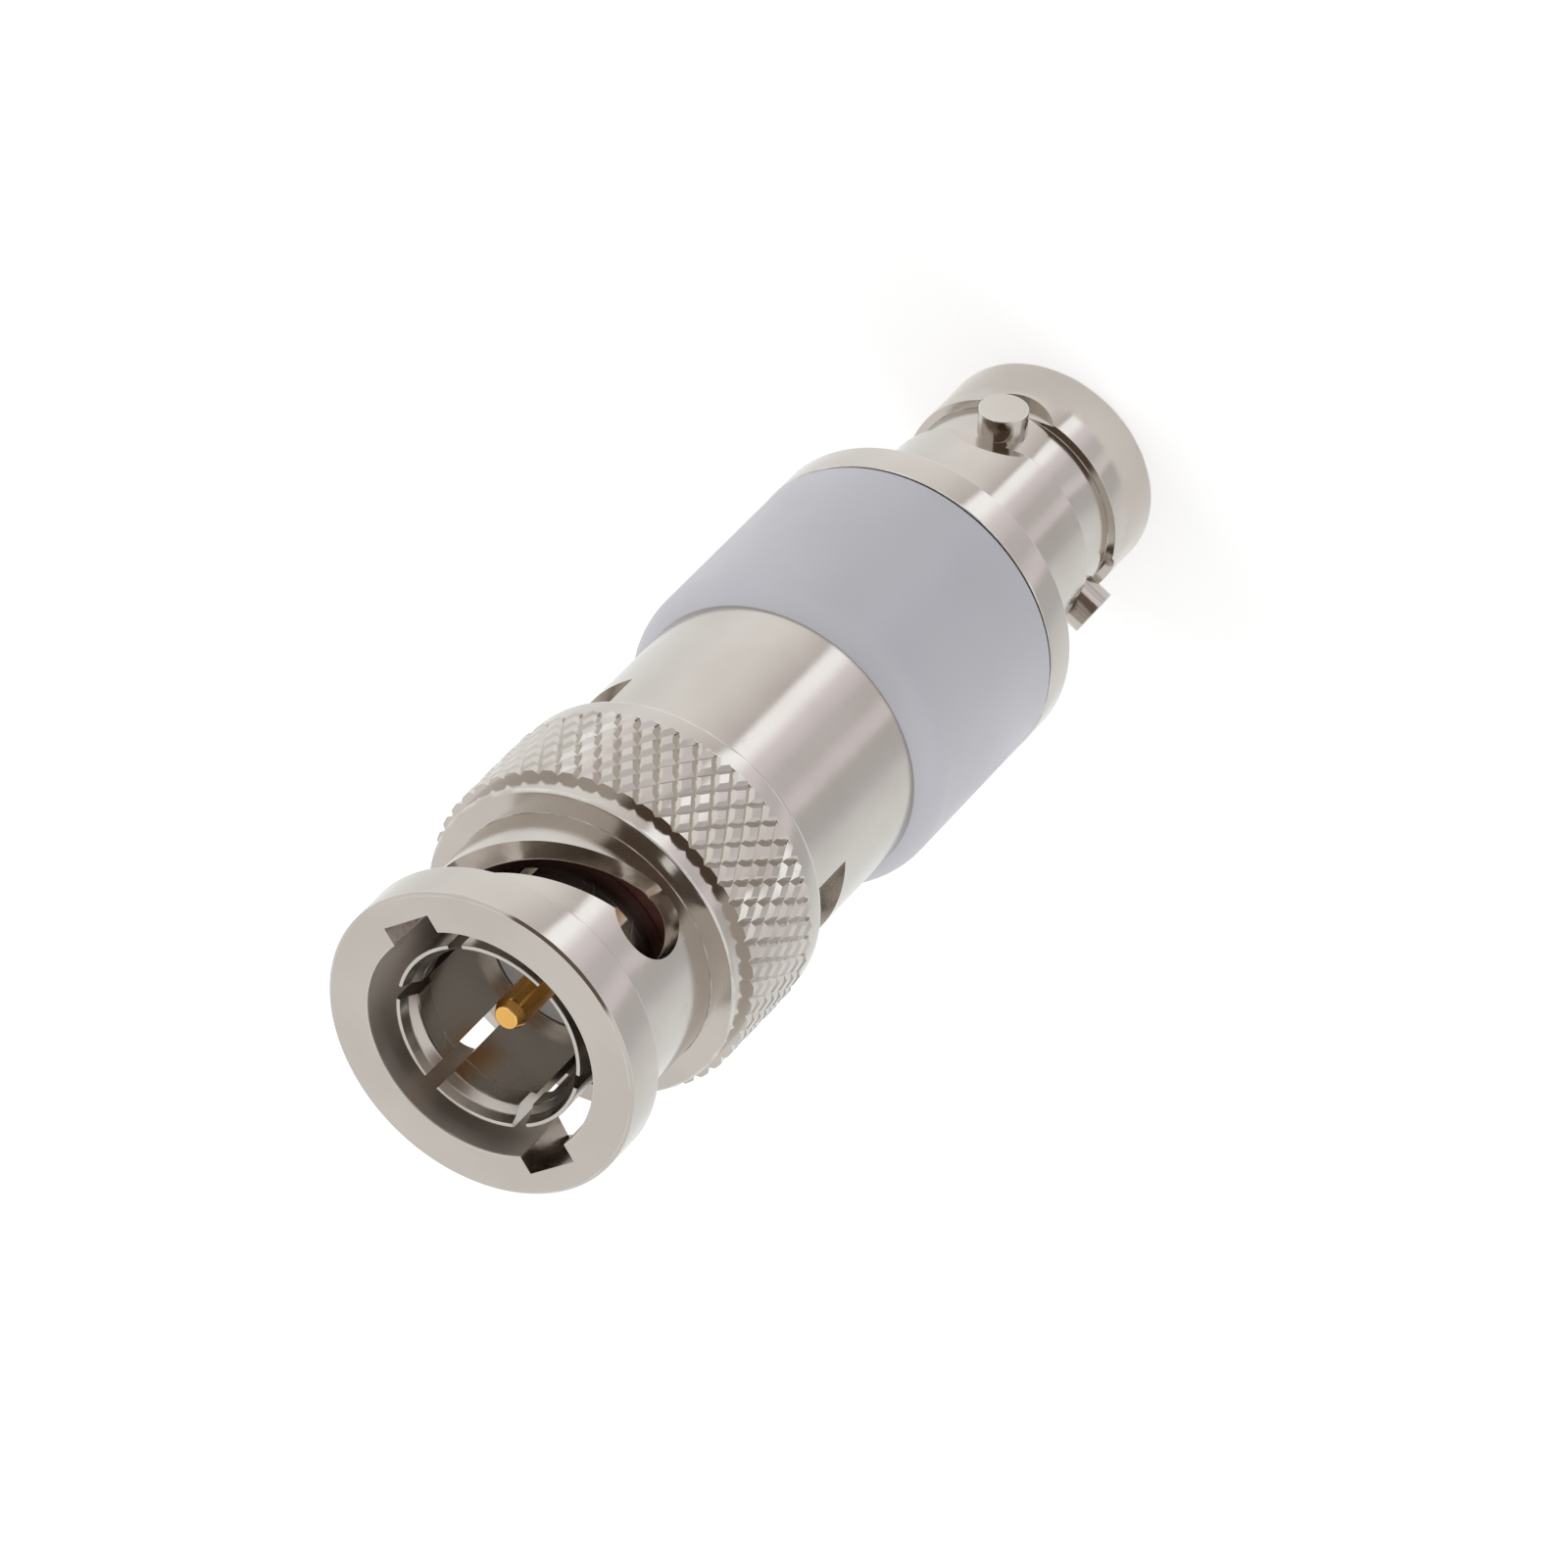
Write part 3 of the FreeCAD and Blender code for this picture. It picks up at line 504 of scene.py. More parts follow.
class Tree:
    """Adds nodes to a tree and links them by their sockets' names."""

    def __init__(self, tree: bpy.types.NodeTree) -> None:
        """Keeps the tree to add to."""
        self.tree = tree

    def add(self, kind: str, settings: dict | None = None, **inputs: object) -> bpy.types.Node:
        """Adds a node.

        Args:
            kind: the node's type.
            settings: properties of the node.
            inputs: a value or an output socket for each input, with _ for a space in its name. A
                name that starts with i and a number is the input's place in the list.

        Returns:
            The node.
        """
        node = self.tree.nodes.new(kind)
        for key, value in (settings or {}).items():
            setattr(node, key, value)
        for key, value in inputs.items():
            numbered = key[0] == "i" and key[1:].isdigit()
            socket = node.inputs[int(key[1:]) if numbered else key.replace("_", " ")]
            if isinstance(value, Socket):
                self.link(value, socket)
            else:
                socket.default_value = value
        return node

    def link(self, value: Socket, socket: Socket) -> None:
        """Links an output to an input."""
        self.tree.links.new(value, socket)

    def place(self, group: str, **inputs: object) -> Sockets:
        """Places a node group with a finish's own values and returns its outputs."""
        return self.add("ShaderNodeGroup", {"node_tree": bpy.data.node_groups[group]}, **inputs).outputs

    def math(self, operation: str, first: object, second: object = 0.0, clamp: bool = False) -> Socket:
        """Adds a sum of one or two numbers and returns its output."""
        settings = {"operation": operation, "use_clamp": clamp}
        return self.add("ShaderNodeMath", settings, i0=first, i1=second).outputs[0]

    def vector_math(self, operation: str, **inputs: object) -> Sockets:
        """Adds a sum of vectors and returns its outputs."""
        return self.add("ShaderNodeVectorMath", {"operation": operation}, **inputs).outputs

    def mix(self, factor: object, first: object, second: object) -> Socket:
        """Adds a mix of two colours and returns its output."""
        return self.add("ShaderNodeMix", {"data_type": "RGBA"}, i0=factor, i6=first, i7=second).outputs[2]

    def ramp(
        self, value: object, low: float, high: float, at_low: float = 0.0, at_high: float = 1.0
    ) -> Socket:
        """Adds a smooth step.

        Args:
            value: the value that it follows.
            low: value at which it starts.
            high: value at which it ends.
            at_low: what it gives at the start.
            at_high: what it gives at the end.

        Returns:
            Its output.
        """
        node = self.add(
            "ShaderNodeMapRange", {"interpolation_type": "SMOOTHSTEP"},
            Value=value, From_Min=low, From_Max=high, To_Min=at_low, To_Max=at_high,
        )
        return node.outputs["Result"]

    def noise(self, vector: Socket, scale: object, detail: float, roughness: float = 0.5) -> Socket:
        """Adds a noise and returns its value."""
        inputs = {"Vector": vector, "Scale": scale, "Detail": detail, "Roughness": roughness}
        return self.add("ShaderNodeTexNoise", **inputs).outputs["Fac"]

    def spot(self) -> Socket:
        """Adds the piece's own coordinates, in metres, and returns them."""
        return self.add("ShaderNodeTexCoord").outputs["Object"]

    def mask(self, name: str) -> Socket:
        """Adds a mask that the mesh carries and returns it."""
        return self.add("ShaderNodeAttribute", {"attribute_name": name}).outputs["Fac"]

    def axis_distance(self, spot: Socket) -> Socket:
        """Adds the distance of a point from the adapter's axis and returns it."""
        level = self.vector_math("MULTIPLY", i0=spot, i1=(1.0, 1.0, 0.0))["Vector"]
        return self.vector_math("LENGTH", i0=level)["Value"]


def seen_directly(tree: Tree) -> Socket:
    """Adds a mask that is 1 for rays from the camera, off mirrors and through glass, and 0 for others.

    Args:
        tree: tree to add to.

    Returns:
        The mask.
    """
    path = tree.add("ShaderNodeLightPath").outputs
    seen = tree.math("MAXIMUM", path["Is Camera Ray"], path["Is Glossy Ray"])
    return tree.math("MAXIMUM", seen, path["Is Transmission Ray"])


def blank_material(name: str) -> tuple[bpy.types.Material, Tree]:
    """Makes a material.

    Args:
        name: name of the material.

    Returns:
        The material and its empty tree.
    """
    material = bpy.data.materials.new(name)
    material.use_nodes = True
    material.node_tree.nodes.clear()
    return material, Tree(material.node_tree)


def new_group(name: str, inputs: dict[str, str], outputs: dict[str, str]) -> tuple[Tree, Sockets, Sockets]:
    """Starts a shader node group.

    Args:
        name: name of the group.
        inputs: socket type of each input.
        outputs: socket type of each output.

    Returns:
        The tree to add to, the sockets that it is given and the sockets that it puts out.
    """
    group = bpy.data.node_groups.new(name, "ShaderNodeTree")
    for label, kind in inputs.items():
        group.interface.new_socket(name=label, in_out="INPUT", socket_type=kind)
    for label, kind in outputs.items():
        group.interface.new_socket(name=label, in_out="OUTPUT", socket_type=kind)
    tree = Tree(group)
    return tree, tree.add("NodeGroupInput").outputs, tree.add("NodeGroupOutput").inputs


class Effects:
    """Node groups that several finishes use."""

    turning = "turning marks"
    staining = "uneven tint"
    gloss = "uneven gloss"
    wear_and_shade = "edge wear"
    scratches = "fine scratches"

    def build(self) -> None:
        """Builds every group once."""
        self._turning()
        self._staining()
        self._gloss()
        self._wear_and_shade()
        self._scratches()
        LOG.info("effects: %d node groups", len(bpy.data.node_groups))

    def _turning(self) -> None:
        """Rings that a lathe tool leaves: noise of the radius and height, hardly of the angle."""
        tree, given, put = new_group(
            self.turning, {"Vector": VECTOR, "Lines": FLOAT, "Unevenness": FLOAT}, {"Height": FLOAT}
        )
        spot, lines = given["Vector"], given["Lines"]
        height = tree.add("ShaderNodeSeparateXYZ", Vector=spot).outputs["Z"]
        drawn = tree.add(
            "ShaderNodeCombineXYZ",
            X=tree.math("MULTIPLY", tree.axis_distance(spot), lines),
            Y=tree.math("MULTIPLY", height, lines),
            Z=tree.math("MULTIPLY", tree.noise(spot, 240.0, 2.0), given["Unevenness"]),
        )
        tree.link(tree.noise(drawn.outputs[0], 1.0, 5.0, 0.7), put["Height"])

    def _staining(self) -> None:
        """Cloudy change between two tints."""
        tree, given, put = new_group(
            self.staining,
            {"Vector": VECTOR, "Scale": FLOAT, "Amount": FLOAT, "Tint": COLOR, "Second Tint": COLOR},
            {"Color": COLOR},
        )
        cloud = tree.ramp(tree.noise(given["Vector"], given["Scale"], 5.0), 0.35, 0.70)
        share = tree.math("MULTIPLY", cloud, given["Amount"])
        tree.link(tree.mix(share, given["Tint"], given["Second Tint"]), put["Color"])

    def _gloss(self) -> None:
        """Roughness that wanders between two values in soft patches with fine specks."""
        tree, given, put = new_group(
            self.gloss,
            {"Vector": VECTOR, "Scale": FLOAT, "Least": FLOAT, "Most": FLOAT},
            {"Roughness": FLOAT},
        )
        share = tree.ramp(tree.noise(given["Vector"], given["Scale"], 6.0), 0.3, 0.75)
        span = tree.math("SUBTRACT", given["Most"], given["Least"])
        tree.link(tree.math("ADD", given["Least"], tree.math("MULTIPLY", share, span)), put["Roughness"])

    def _wear_and_shade(self) -> None:
        """Masks from the corner attribute: worn outer edges, and painted shade in inner corners, both patchy.
        """
        tree, given, put = new_group(
            self.wear_and_shade, {"Vector": VECTOR, "Corner": FLOAT, "Scale": FLOAT}, {"Edge": FLOAT, "Painted Shade": FLOAT}
        )
        share = tree.ramp(tree.noise(given["Vector"], given["Scale"], 4.0), 0.38, 0.62)
        # Edge is wear on outer corners; the second mask is painted shade in inner corners.
        for sign, label in ((1.0, "Edge"), (-1.0, "Painted Shade")):
            corner = tree.math("MAXIMUM", tree.math("MULTIPLY", given["Corner"], sign), 0.0)
            tree.link(tree.math("MULTIPLY", corner, share, True), put[label])

    def _scratches(self) -> None:
        """Thin lines in two directions where a stretched noise crosses its middle value."""
        tree, given, put = new_group(
            self.scratches, {"Vector": VECTOR, "Scale": FLOAT, "Turn": FLOAT}, {"Mask": FLOAT}
        )
        masks = []
        for turn, stretch in ((0.6, (1.0, 0.08, 1.0)), (2.1, (0.07, 1.0, 0.9))):
            across = tree.add(
                "ShaderNodeVectorRotate", {"rotation_type": "AXIS_ANGLE"},
                Vector=given["Vector"], Axis=(0.3, 0.9, 0.4), Angle=tree.math("ADD", given["Turn"], turn),
            )
            drawn = tree.vector_math("MULTIPLY", i0=across.outputs[0], i1=stretch)["Vector"]
            lines = tree.noise(drawn, given["Scale"], 2.0)
            away = tree.math("ABSOLUTE", tree.math("SUBTRACT", lines, 0.5))
            masks.append(tree.ramp(away, 0.0, 0.012, 1.0, 0.0))
        some = tree.ramp(tree.noise(given["Vector"], 160.0, 2.0), 0.52, 0.62)
        tree.link(tree.math("MULTIPLY", tree.math("MAXIMUM", *masks), some, True), put["Mask"])


@dataclass(frozen=True)
class Finish:
    """What a piece is covered with: two tints in clouds, a wandering gloss and a fine relief.

    Scales and lines are counts a metre, and the relief is in metres.
    """

    name: str
    tint: Tint = (0.5, 0.5, 0.5)
    second_tint: Tint = (0.5, 0.5, 0.5)
    stain_scale: float = 500.0
    stain_amount: float = 0.7
    gloss_scale: float = 800.0
    least_roughness: float = 0.4
    most_roughness: float = 0.5
    lines: float = 7000.0
    unevenness: float = 1.0
    depth: float = 0.1
    relief: float = 0.00002

    def material(self) -> bpy.types.Material:
        """Makes the finish's material, the first time that it is asked for.

        Returns:
            The material.
        """
        known = bpy.data.materials.get(self.name)
        if known is not None:
            return known
        material, tree = blank_material(self.name)
        self.paint(tree)
        return material

    def paint(self, tree: Tree) -> None:
        """Adds the material's nodes to its tree."""
        raise NotImplementedError

    def stained(self, tree: Tree, spot: Socket) -> Socket:
        """Adds the two tints in clouds.

        Args:
            tree: the material's tree.
            spot: the piece's own coordinates.

        Returns:
            Their colour.
        """
        return tree.place(
            Effects.staining, Vector=spot, Scale=self.stain_scale, Amount=self.stain_amount,
            Tint=(*self.tint, 1.0), Second_Tint=(*self.second_tint, 1.0),
        )["Color"]

    def glossed(self, tree: Tree, spot: Socket) -> Socket:
        """Adds the wandering gloss and returns its roughness."""
        span = {"Least": self.least_roughness, "Most": self.most_roughness}
        return tree.place(Effects.gloss, Vector=spot, Scale=self.gloss_scale, **span)["Roughness"]

    def ringed(self, tree: Tree, spot: Socket) -> Socket:
        """Adds the rings of the lathe tool and returns their height."""
        rings = {"Lines": self.lines, "Unevenness": self.unevenness}
        return tree.place(Effects.turning, Vector=spot, **rings)["Height"]

    def raised(self, tree: Tree, height: Socket) -> Socket:
        """Adds the relief and returns its normals."""
        return tree.add("ShaderNodeBump", Strength=self.depth, Distance=self.relief, Height=height).outputs[0]


@dataclass(frozen=True)
class PlatedMetal(Finish):
    """Turned and plated metal: rings of the tool, uneven tint and gloss, worn edges, painted shade in inner
    corners, painted light in a matt bore, fine scratches.
    """

    tint: Tint = (0.55, 0.51, 0.465)
    second_tint: Tint = (0.51, 0.465, 0.42)
    painted_shade_tint: Tint = (0.22, 0.185, 0.15)
    edge_tint: Tint = (0.66, 0.64, 0.61)
    milled_tint: Tint = (0.36, 0.30, 0.25)
    stain_scale: float = 260.0
    stain_amount: float = 0.75
    wear_and_shade_scale: float = 900.0
    milled_share: float = 0.8
    milled_roughness: float = 0.08
    bore_painted_light_tint: Tint = (0.62, 0.57, 0.52)
    bore_painted_light_share: float = 0.7
    matt_roughness: float = 0.32
    matt_within: float = 0.0
    matt_fade: float = 0.00002
    scratch_scale: float = 520.0
    scratch_turn: float = 0.4
    scratch_roughness: float = 0.10
    scratch_depth: float = 0.2
    chatter_scale: float = 2600.0
    chatter_depth: float = 3.0
    gloss_scale: float = 420.0
    least_roughness: float = 0.09
    most_roughness: float = 0.17
    lines: float = 16000.0
    unevenness: float = 1.2
    depth: float = 0.10
    stretch: float = 0.45

    def paint(self, tree: Tree) -> None:
        """Adds the material's nodes.

        Args:
            tree: the material's empty tree.
        """
        spot, milled = tree.spot(), tree.mask("milled")
        wear_and_shade = tree.place(Effects.wear_and_shade, Vector=spot, Corner=tree.mask("corner"), Scale=self.wear_and_shade_scale)
        scratching = {"Scale": self.scratch_scale, "Turn": self.scratch_turn}
        marks = tree.place(Effects.scratches, Vector=spot, **scratching)["Mask"]
        color = tree.mix(wear_and_shade["Edge"], self.stained(tree, spot), (*self.edge_tint, 1.0))
        # Painted shade: inner corners are mixed towards a dark tint.
        color = tree.mix(wear_and_shade["Painted Shade"], color, (*self.painted_shade_tint, 1.0))
        color = tree.mix(tree.math("MULTIPLY", milled, self.milled_share), color, (*self.milled_tint, 1.0))
        rough = self.glossed(tree, spot)
        rough = tree.math("ADD", rough, tree.math("MULTIPLY", marks, self.scratch_roughness), True)
        rough = tree.math("ADD", rough, tree.math("MULTIPLY", milled, self.milled_roughness), True)
        if self.matt_within > 0:
            low, high = self.matt_within - self.matt_fade, self.matt_within + self.matt_fade
            bored = tree.ramp(tree.axis_distance(spot), low, high, 1.0, 0.0)
            rough = tree.math("ADD", rough, tree.math("MULTIPLY", bored, self.matt_roughness), True)
            # Painted light: the bore's colour is mixed towards a lighter tint, beside its real rougher gloss.
            color = tree.mix(tree.math("MULTIPLY", bored, self.bore_painted_light_share), color, (*self.bore_painted_light_tint, 1.0))
        height = self.ringed(tree, spot)
        height = tree.math("SUBTRACT", height, tree.math("MULTIPLY", marks, self.scratch_depth))
        cells = tree.add("ShaderNodeTexVoronoi", Vector=spot, Scale=self.chatter_scale, Randomness=1.0)
        chatter = tree.math("MULTIPLY", cells.outputs["Distance"], self.chatter_depth)
        height = tree.math("ADD", height, tree.math("MULTIPLY", milled, chatter))
        along = tree.add("ShaderNodeTangent", {"direction_type": "UV_MAP", "uv_map": "turned"})
        shader = tree.add(
            "ShaderNodeBsdfPrincipled",
            Base_Color=color, Metallic=1.0, Roughness=rough, Anisotropic=self.stretch,
            Normal=self.raised(tree, height), Tangent=along.outputs[0],
        )
        tree.add("ShaderNodeOutputMaterial", Surface=shader.outputs[0])


@dataclass(frozen=True)
class SatinSleeve(Finish):
    """Satin pale grey plastic with fine rings, faint clouds, rubbed patches and painted shade in inner
    corners.
    """

    tint: Tint = (0.530, 0.527, 0.567)
    second_tint: Tint = (0.505, 0.500, 0.540)
    rubbed_tint: Tint = (0.62, 0.62, 0.65)
    rubbed_share: float = 0.35
    painted_shade_tint: Tint = (0.25, 0.24, 0.25)
    stain_scale: float = 140.0
    stain_amount: float = 0.8
    wear_and_shade_scale: float = 700.0
    gloss_scale: float = 300.0
    least_roughness: float = 0.36
    most_roughness: float = 0.48
    lines: float = 9000.0
    unevenness: float = 2.0
    depth: float = 0.10
    relief: float = 0.00003
    ior: float = 1.5

    def paint(self, tree: Tree) -> None:
        """Adds the material's nodes.

        Args:
            tree: the material's empty tree.
        """
        spot = tree.spot()
        wear_and_shade = tree.place(Effects.wear_and_shade, Vector=spot, Corner=tree.mask("corner"), Scale=self.wear_and_shade_scale)
        rubbed = tree.math("MULTIPLY", wear_and_shade["Edge"], self.rubbed_share)
        color = tree.mix(rubbed, self.stained(tree, spot), (*self.rubbed_tint, 1.0))
        # Painted shade: inner corners are mixed towards a dark tint.
        color = tree.mix(wear_and_shade["Painted Shade"], color, (*self.painted_shade_tint, 1.0))
        shader = tree.add(
            "ShaderNodeBsdfPrincipled", Base_Color=color, Roughness=self.glossed(tree, spot),
            Normal=self.raised(tree, self.ringed(tree, spot)), IOR=self.ior,
        )
        tree.add("ShaderNodeOutputMaterial", Surface=shader.outputs[0])


@dataclass(frozen=True)
class TurnedPlastic(Finish):
    """White fluoroplastic as it is turned: waxy, with tool rings and a little dust."""

    tint: Tint = (0.70, 0.69, 0.67)
    second_tint: Tint = (0.62, 0.60, 0.57)
    least_roughness: float = 0.42
    most_roughness: float = 0.55
    depth: float = 0.25
    relief: float = 0.00003
    ior: float = 1.36

    def paint(self, tree: Tree) -> None:
        """Adds the material's nodes.

        Args:
            tree: the material's empty tree.
        """
        spot = tree.spot()
        shader = tree.add(
            "ShaderNodeBsdfPrincipled",
            Base_Color=self.stained(tree, spot), Roughness=self.glossed(tree, spot),
            Normal=self.raised(tree, self.ringed(tree, spot)), IOR=self.ior,
        )
        tree.add("ShaderNodeOutputMaterial", Surface=shader.outputs[0])


@dataclass(frozen=True)
class MouldedRubber(Finish):
    """Brick-red silicone rubber with a fine bloom."""

    tint: Tint = (0.095, 0.026, 0.020)
    second_tint: Tint = (0.14, 0.052, 0.042)
    stain_scale: float = 700.0
    stain_amount: float = 1.0
    gloss_scale: float = 900.0
    least_roughness: float = 0.55
    most_roughness: float = 0.7
    grain_scale: float = 6000.0
    depth: float = 0.3

    def paint(self, tree: Tree) -> None:
        """Adds the material's nodes.

        Args:
            tree: the material's empty tree.
        """
        spot = tree.spot()
        shader = tree.add(
            "ShaderNodeBsdfPrincipled",
            Base_Color=self.stained(tree, spot), Roughness=self.glossed(tree, spot),
            Normal=self.raised(tree, tree.noise(spot, self.grain_scale, 3.0)),
        )
        tree.add("ShaderNodeOutputMaterial", Surface=shader.outputs[0])


NICKEL = PlatedMetal("nickel, turned")
# Its bore is rougher, and lighter by painted light.
NICKEL_NUT = PlatedMetal("nickel, turned with a matt bore and painted light in it", matt_within=0.00495)
NICKEL_KNURL = PlatedMetal(
    "nickel, knurled", least_roughness=0.08, most_roughness=0.18, depth=0.05, stretch=0.0
)
NICKEL_BORE = PlatedMetal("nickel, bored", least_roughness=0.18, most_roughness=0.30, depth=0.15)
GOLD = PlatedMetal(
    "gold, turned",
    tint=(0.80, 0.46, 0.13), second_tint=(0.70, 0.36, 0.09), painted_shade_tint=(0.30, 0.14, 0.04),
    edge_tint=(0.90, 0.62, 0.25), least_roughness=0.18, most_roughness=0.30, lines=14000.0,
)
SPRING = PlatedMetal(
    "spring metal, rolled",
    tint=(0.50, 0.49, 0.47), second_tint=(0.42, 0.40, 0.37),
    least_roughness=0.28, most_roughness=0.42, stretch=0.0,
)
SLEEVE = SatinSleeve("grey sleeve, satin")
PLASTIC = TurnedPlastic("white insulator, turned")
RUBBER = MouldedRubber("gasket rubber, moulded")


# Pieces


@dataclass
class JackShell:
    """Outer shell of the jack: rim, lug groove, boss and flange, with three lugs in milled pockets."""

    rim_radius: float = 4.825
    groove_radius: float = 4.45
    boss_radius: float = 4.80
    flange_radius: float = 7.00
    mouth: float = 4.05
    rim_top: float = 3.15
    groove_top: float = 5.50
    flange_bottom: float = 11.15
    flange_top: float = 12.70
    tail_radius: float = 5.60
    tail_top: float = 17.20
    tail_bore: float = 4.40
    throat: float = 3.52
    throat_top: float = 13.70
    mouth_top: float = 10.20
    lug_radius: float = 1.02
    lug_sink: float = 0.25
    lug_top: float = 5.50
    lug_height: float = 4.45
    pocket_radius: float = 2.10
    lug_angles: tuple[float, ...] = (-31.5, 88.5, 208.5)

    def shell(self) -> bpy.types.Object:
        """Builds the turned shell and mills the pockets out of it.

        Returns:
            The shell without its lugs.
        """
        section = [
            (self.mouth, 0.0, 0.12), (self.rim_radius, 0.0, 0.15), (self.rim_radius, self.rim_top, 0.03),
            (self.groove_radius, self.rim_top, 0.04), (self.groove_radius, self.groove_top, 0.04),
            (self.boss_radius, self.groove_top, 0.05), (self.boss_radius, self.flange_bottom, 0.10),
            (self.flange_radius, self.flange_bottom, 0.08), (self.flange_radius, self.flange_top, 0.08),
            (self.tail_radius, self.flange_top, 0.0), (self.tail_radius, self.tail_top, 0.1),
            (self.tail_bore, self.tail_top, 0.1), (self.tail_bore, self.throat_top, 0.0),
            (self.throat, self.throat_top, 0.0), (self.throat, self.mouth_top, 0.0),
            (self.mouth, self.mouth_top, 0.0),
        ]
        piece = made("jack_shell_turned", turned(section, columns=320))
        pocket = circle(self.pocket_radius, self.lug_height)
        reach = self.flange_radius + 1
        mills = [prism(pocket, self.groove_radius, reach, angle) for angle in self.lug_angles]
        return carved(piece, [merged(mills)], LIGHT_MILLING)

    def lugs(self) -> bpy.types.Object:
        """Builds the three studs that the nut of a mating plug turns over.

        Returns:
            The studs, each turned about its own axis and set square to the shell.
        """
        up = np.array([0.0, 0.0, 1.0])
        root = self.groove_radius - self.lug_sink
        length = self.lug_top - root
        stud = turned(
            [(0, 0, 0), (self.lug_radius, 0, 0), (self.lug_radius, length, 0.05), (0, length, 0)],
            closed=False, columns=96,
        )
        studs = []
        for angle in self.lug_angles:
            e = outward(angle)
            side = np.array([-e[1], e[0], 0.0])
            studs.append(stud.placed(side, up, e, root * e + self.lug_height * up))
        return made("jack_lugs", merged(studs))

    def dress(self) -> None:
        """Builds the shell and its lugs and puts them on the adapter."""
        fitted(self.shell(), NICKEL, Body.ADAPTER, Slot.NICKEL, "jack_shell")
        fitted(self.lugs(), NICKEL, Body.ADAPTER, Slot.NICKEL, "jack_shell")


@dataclass
class JackInside:
    """What shows in the mouth of the jack: two insulators, the middle contact and the socket."""

    guard_bore: float = 2.30
    guard_radius: float = 2.85
    guard_tip: float = 1.80
    guard_slot_top: float = 6.80
    guard_slot: float = 0.40
    guard_tines: int = 4
    guard_flange_radius: float = 4.00
    guard_flange_bottom: float = 18.70
    guard_top: float = 21.70
    socket_hole: float = 0.69
    socket_hole_end: float = 7.40
    socket_radius: float = 1.00
    socket_tip: float = 2.40
    socket_slot_top: float = 6.40
    socket_slot: float = 0.25
    socket_tines: int = 2
    socket_collar_radius: float = 1.40
    socket_collar_bottom: float = 20.70
    socket_tail_radius: float = 0.50
    socket_tail_end: float = 24.50
    outer_bore: float = 2.87
    nose_radius: float = 3.30
    nose_tip: float = 3.50
    outer_flange_radius: float = 4.03
    outer_flange_bottom: float = 8.70
    outer_flange_top: float = 10.20
    outer_neck_radius: float = 3.50
    outer_top: float = 15.20
    inner_bore: float = 1.02
    inner_radius: float = 2.28
    inner_tip: float = 2.70
    inner_seat_radius: float = 1.42

    def guard(self) -> bpy.types.Object:
        """Builds the middle contact: four tines on a tube with a flange.

        Returns:
            The contact.
        """
        base = turned([
            (self.guard_bore, self.guard_slot_top, 0), (self.guard_radius, self.guard_slot_top, 0),
            (self.guard_radius, self.guard_flange_bottom, 0),
            (self.guard_flange_radius, self.guard_flange_bottom, 0.05),
            (self.guard_flange_radius, self.guard_top, 0.05), (self.guard_bore, self.guard_top, 0.05),
        ], columns=128)
        section = [
            (self.guard_bore, self.guard_tip, 0.10), (self.guard_radius, self.guard_tip, 0.12),
            (self.guard_radius, self.guard_slot_top, 0), (self.guard_bore, self.guard_slot_top, 0),
        ]
        tines = all_tines(section, 45, self.guard_tines, self.guard_slot)
        return made("guard_tines", merged([base, *tines]))

    def socket(self) -> bpy.types.Object:
        """Builds the gold socket: two tines on a rod with a collar.

        Returns:
            The socket.
        """
        base = turned([
            (0, self.socket_hole_end, 0), (self.socket_hole, self.socket_hole_end, 0),
            (self.socket_hole, self.socket_slot_top, 0), (self.socket_radius, self.socket_slot_top, 0),
            (self.socket_radius, self.socket_collar_bottom, 0),
            (self.socket_collar_radius, self.socket_collar_bottom, 0.04),
            (self.socket_collar_radius, self.guard_top, 0.04), (self.socket_tail_radius, self.guard_top, 0),
            (self.socket_tail_radius, self.socket_tail_end, 0.06), (0, self.socket_tail_end, 0),
        ], closed=False, columns=96)
        section = [
            (self.socket_hole, self.socket_tip, 0.10), (self.socket_radius, self.socket_tip, 0.08),
            (self.socket_radius, self.socket_slot_top, 0), (self.socket_hole, self.socket_slot_top, 0),
        ]
        tines = all_tines(section, 90, self.socket_tines, self.socket_slot, 48)
        return made("socket_tines", merged([base, *tines]))

    def insulators(self) -> list[bpy.types.Object]:
        """Builds the outer and the inner insulator of the jack.

        Returns:
            The two insulators.
        """
        outer = turned([
            (self.outer_bore, self.nose_tip, 0.06), (self.nose_radius, self.nose_tip, 0.06),
            (self.nose_radius, self.outer_flange_bottom, 0.03),
            (self.outer_flange_radius, self.outer_flange_bottom, 0.05),
            (self.outer_flange_radius, self.outer_flange_top, 0),
            (self.outer_neck_radius, self.outer_flange_top, 0), (self.outer_neck_radius, self.outer_top, 0),
            (self.outer_bore, self.outer_top, 0),
        ], columns=160)
        inner = turned([
            (self.inner_bore, self.inner_tip, 0.08), (self.inner_radius, self.inner_tip, 0.08),
            (self.inner_radius, self.guard_top, 0), (self.inner_seat_radius, self.guard_top, 0),
            (self.inner_seat_radius, self.socket_collar_bottom, 0),
            (self.inner_bore, self.socket_collar_bottom, 0),
        ], columns=128)
        return [made("jack_outer_insulator_turned", outer), made("jack_inner_insulator_turned", inner)]

    def dress(self) -> None:
        """Builds the jack's inside and puts it on the adapter."""
        fitted(self.guard(), NICKEL_BORE, Body.ADAPTER, Slot.NICKEL, "guard_contact")
        fitted(self.socket(), GOLD, Body.ADAPTER, Slot.GOLD, "socket_contact")
        outer, inner = self.insulators()
        fitted(outer, PLASTIC, Body.ADAPTER, Slot.INSULATOR, "jack_outer_insulator")
        fitted(inner, PLASTIC, Body.ADAPTER, Slot.INSULATOR, "jack_inner_insulator")


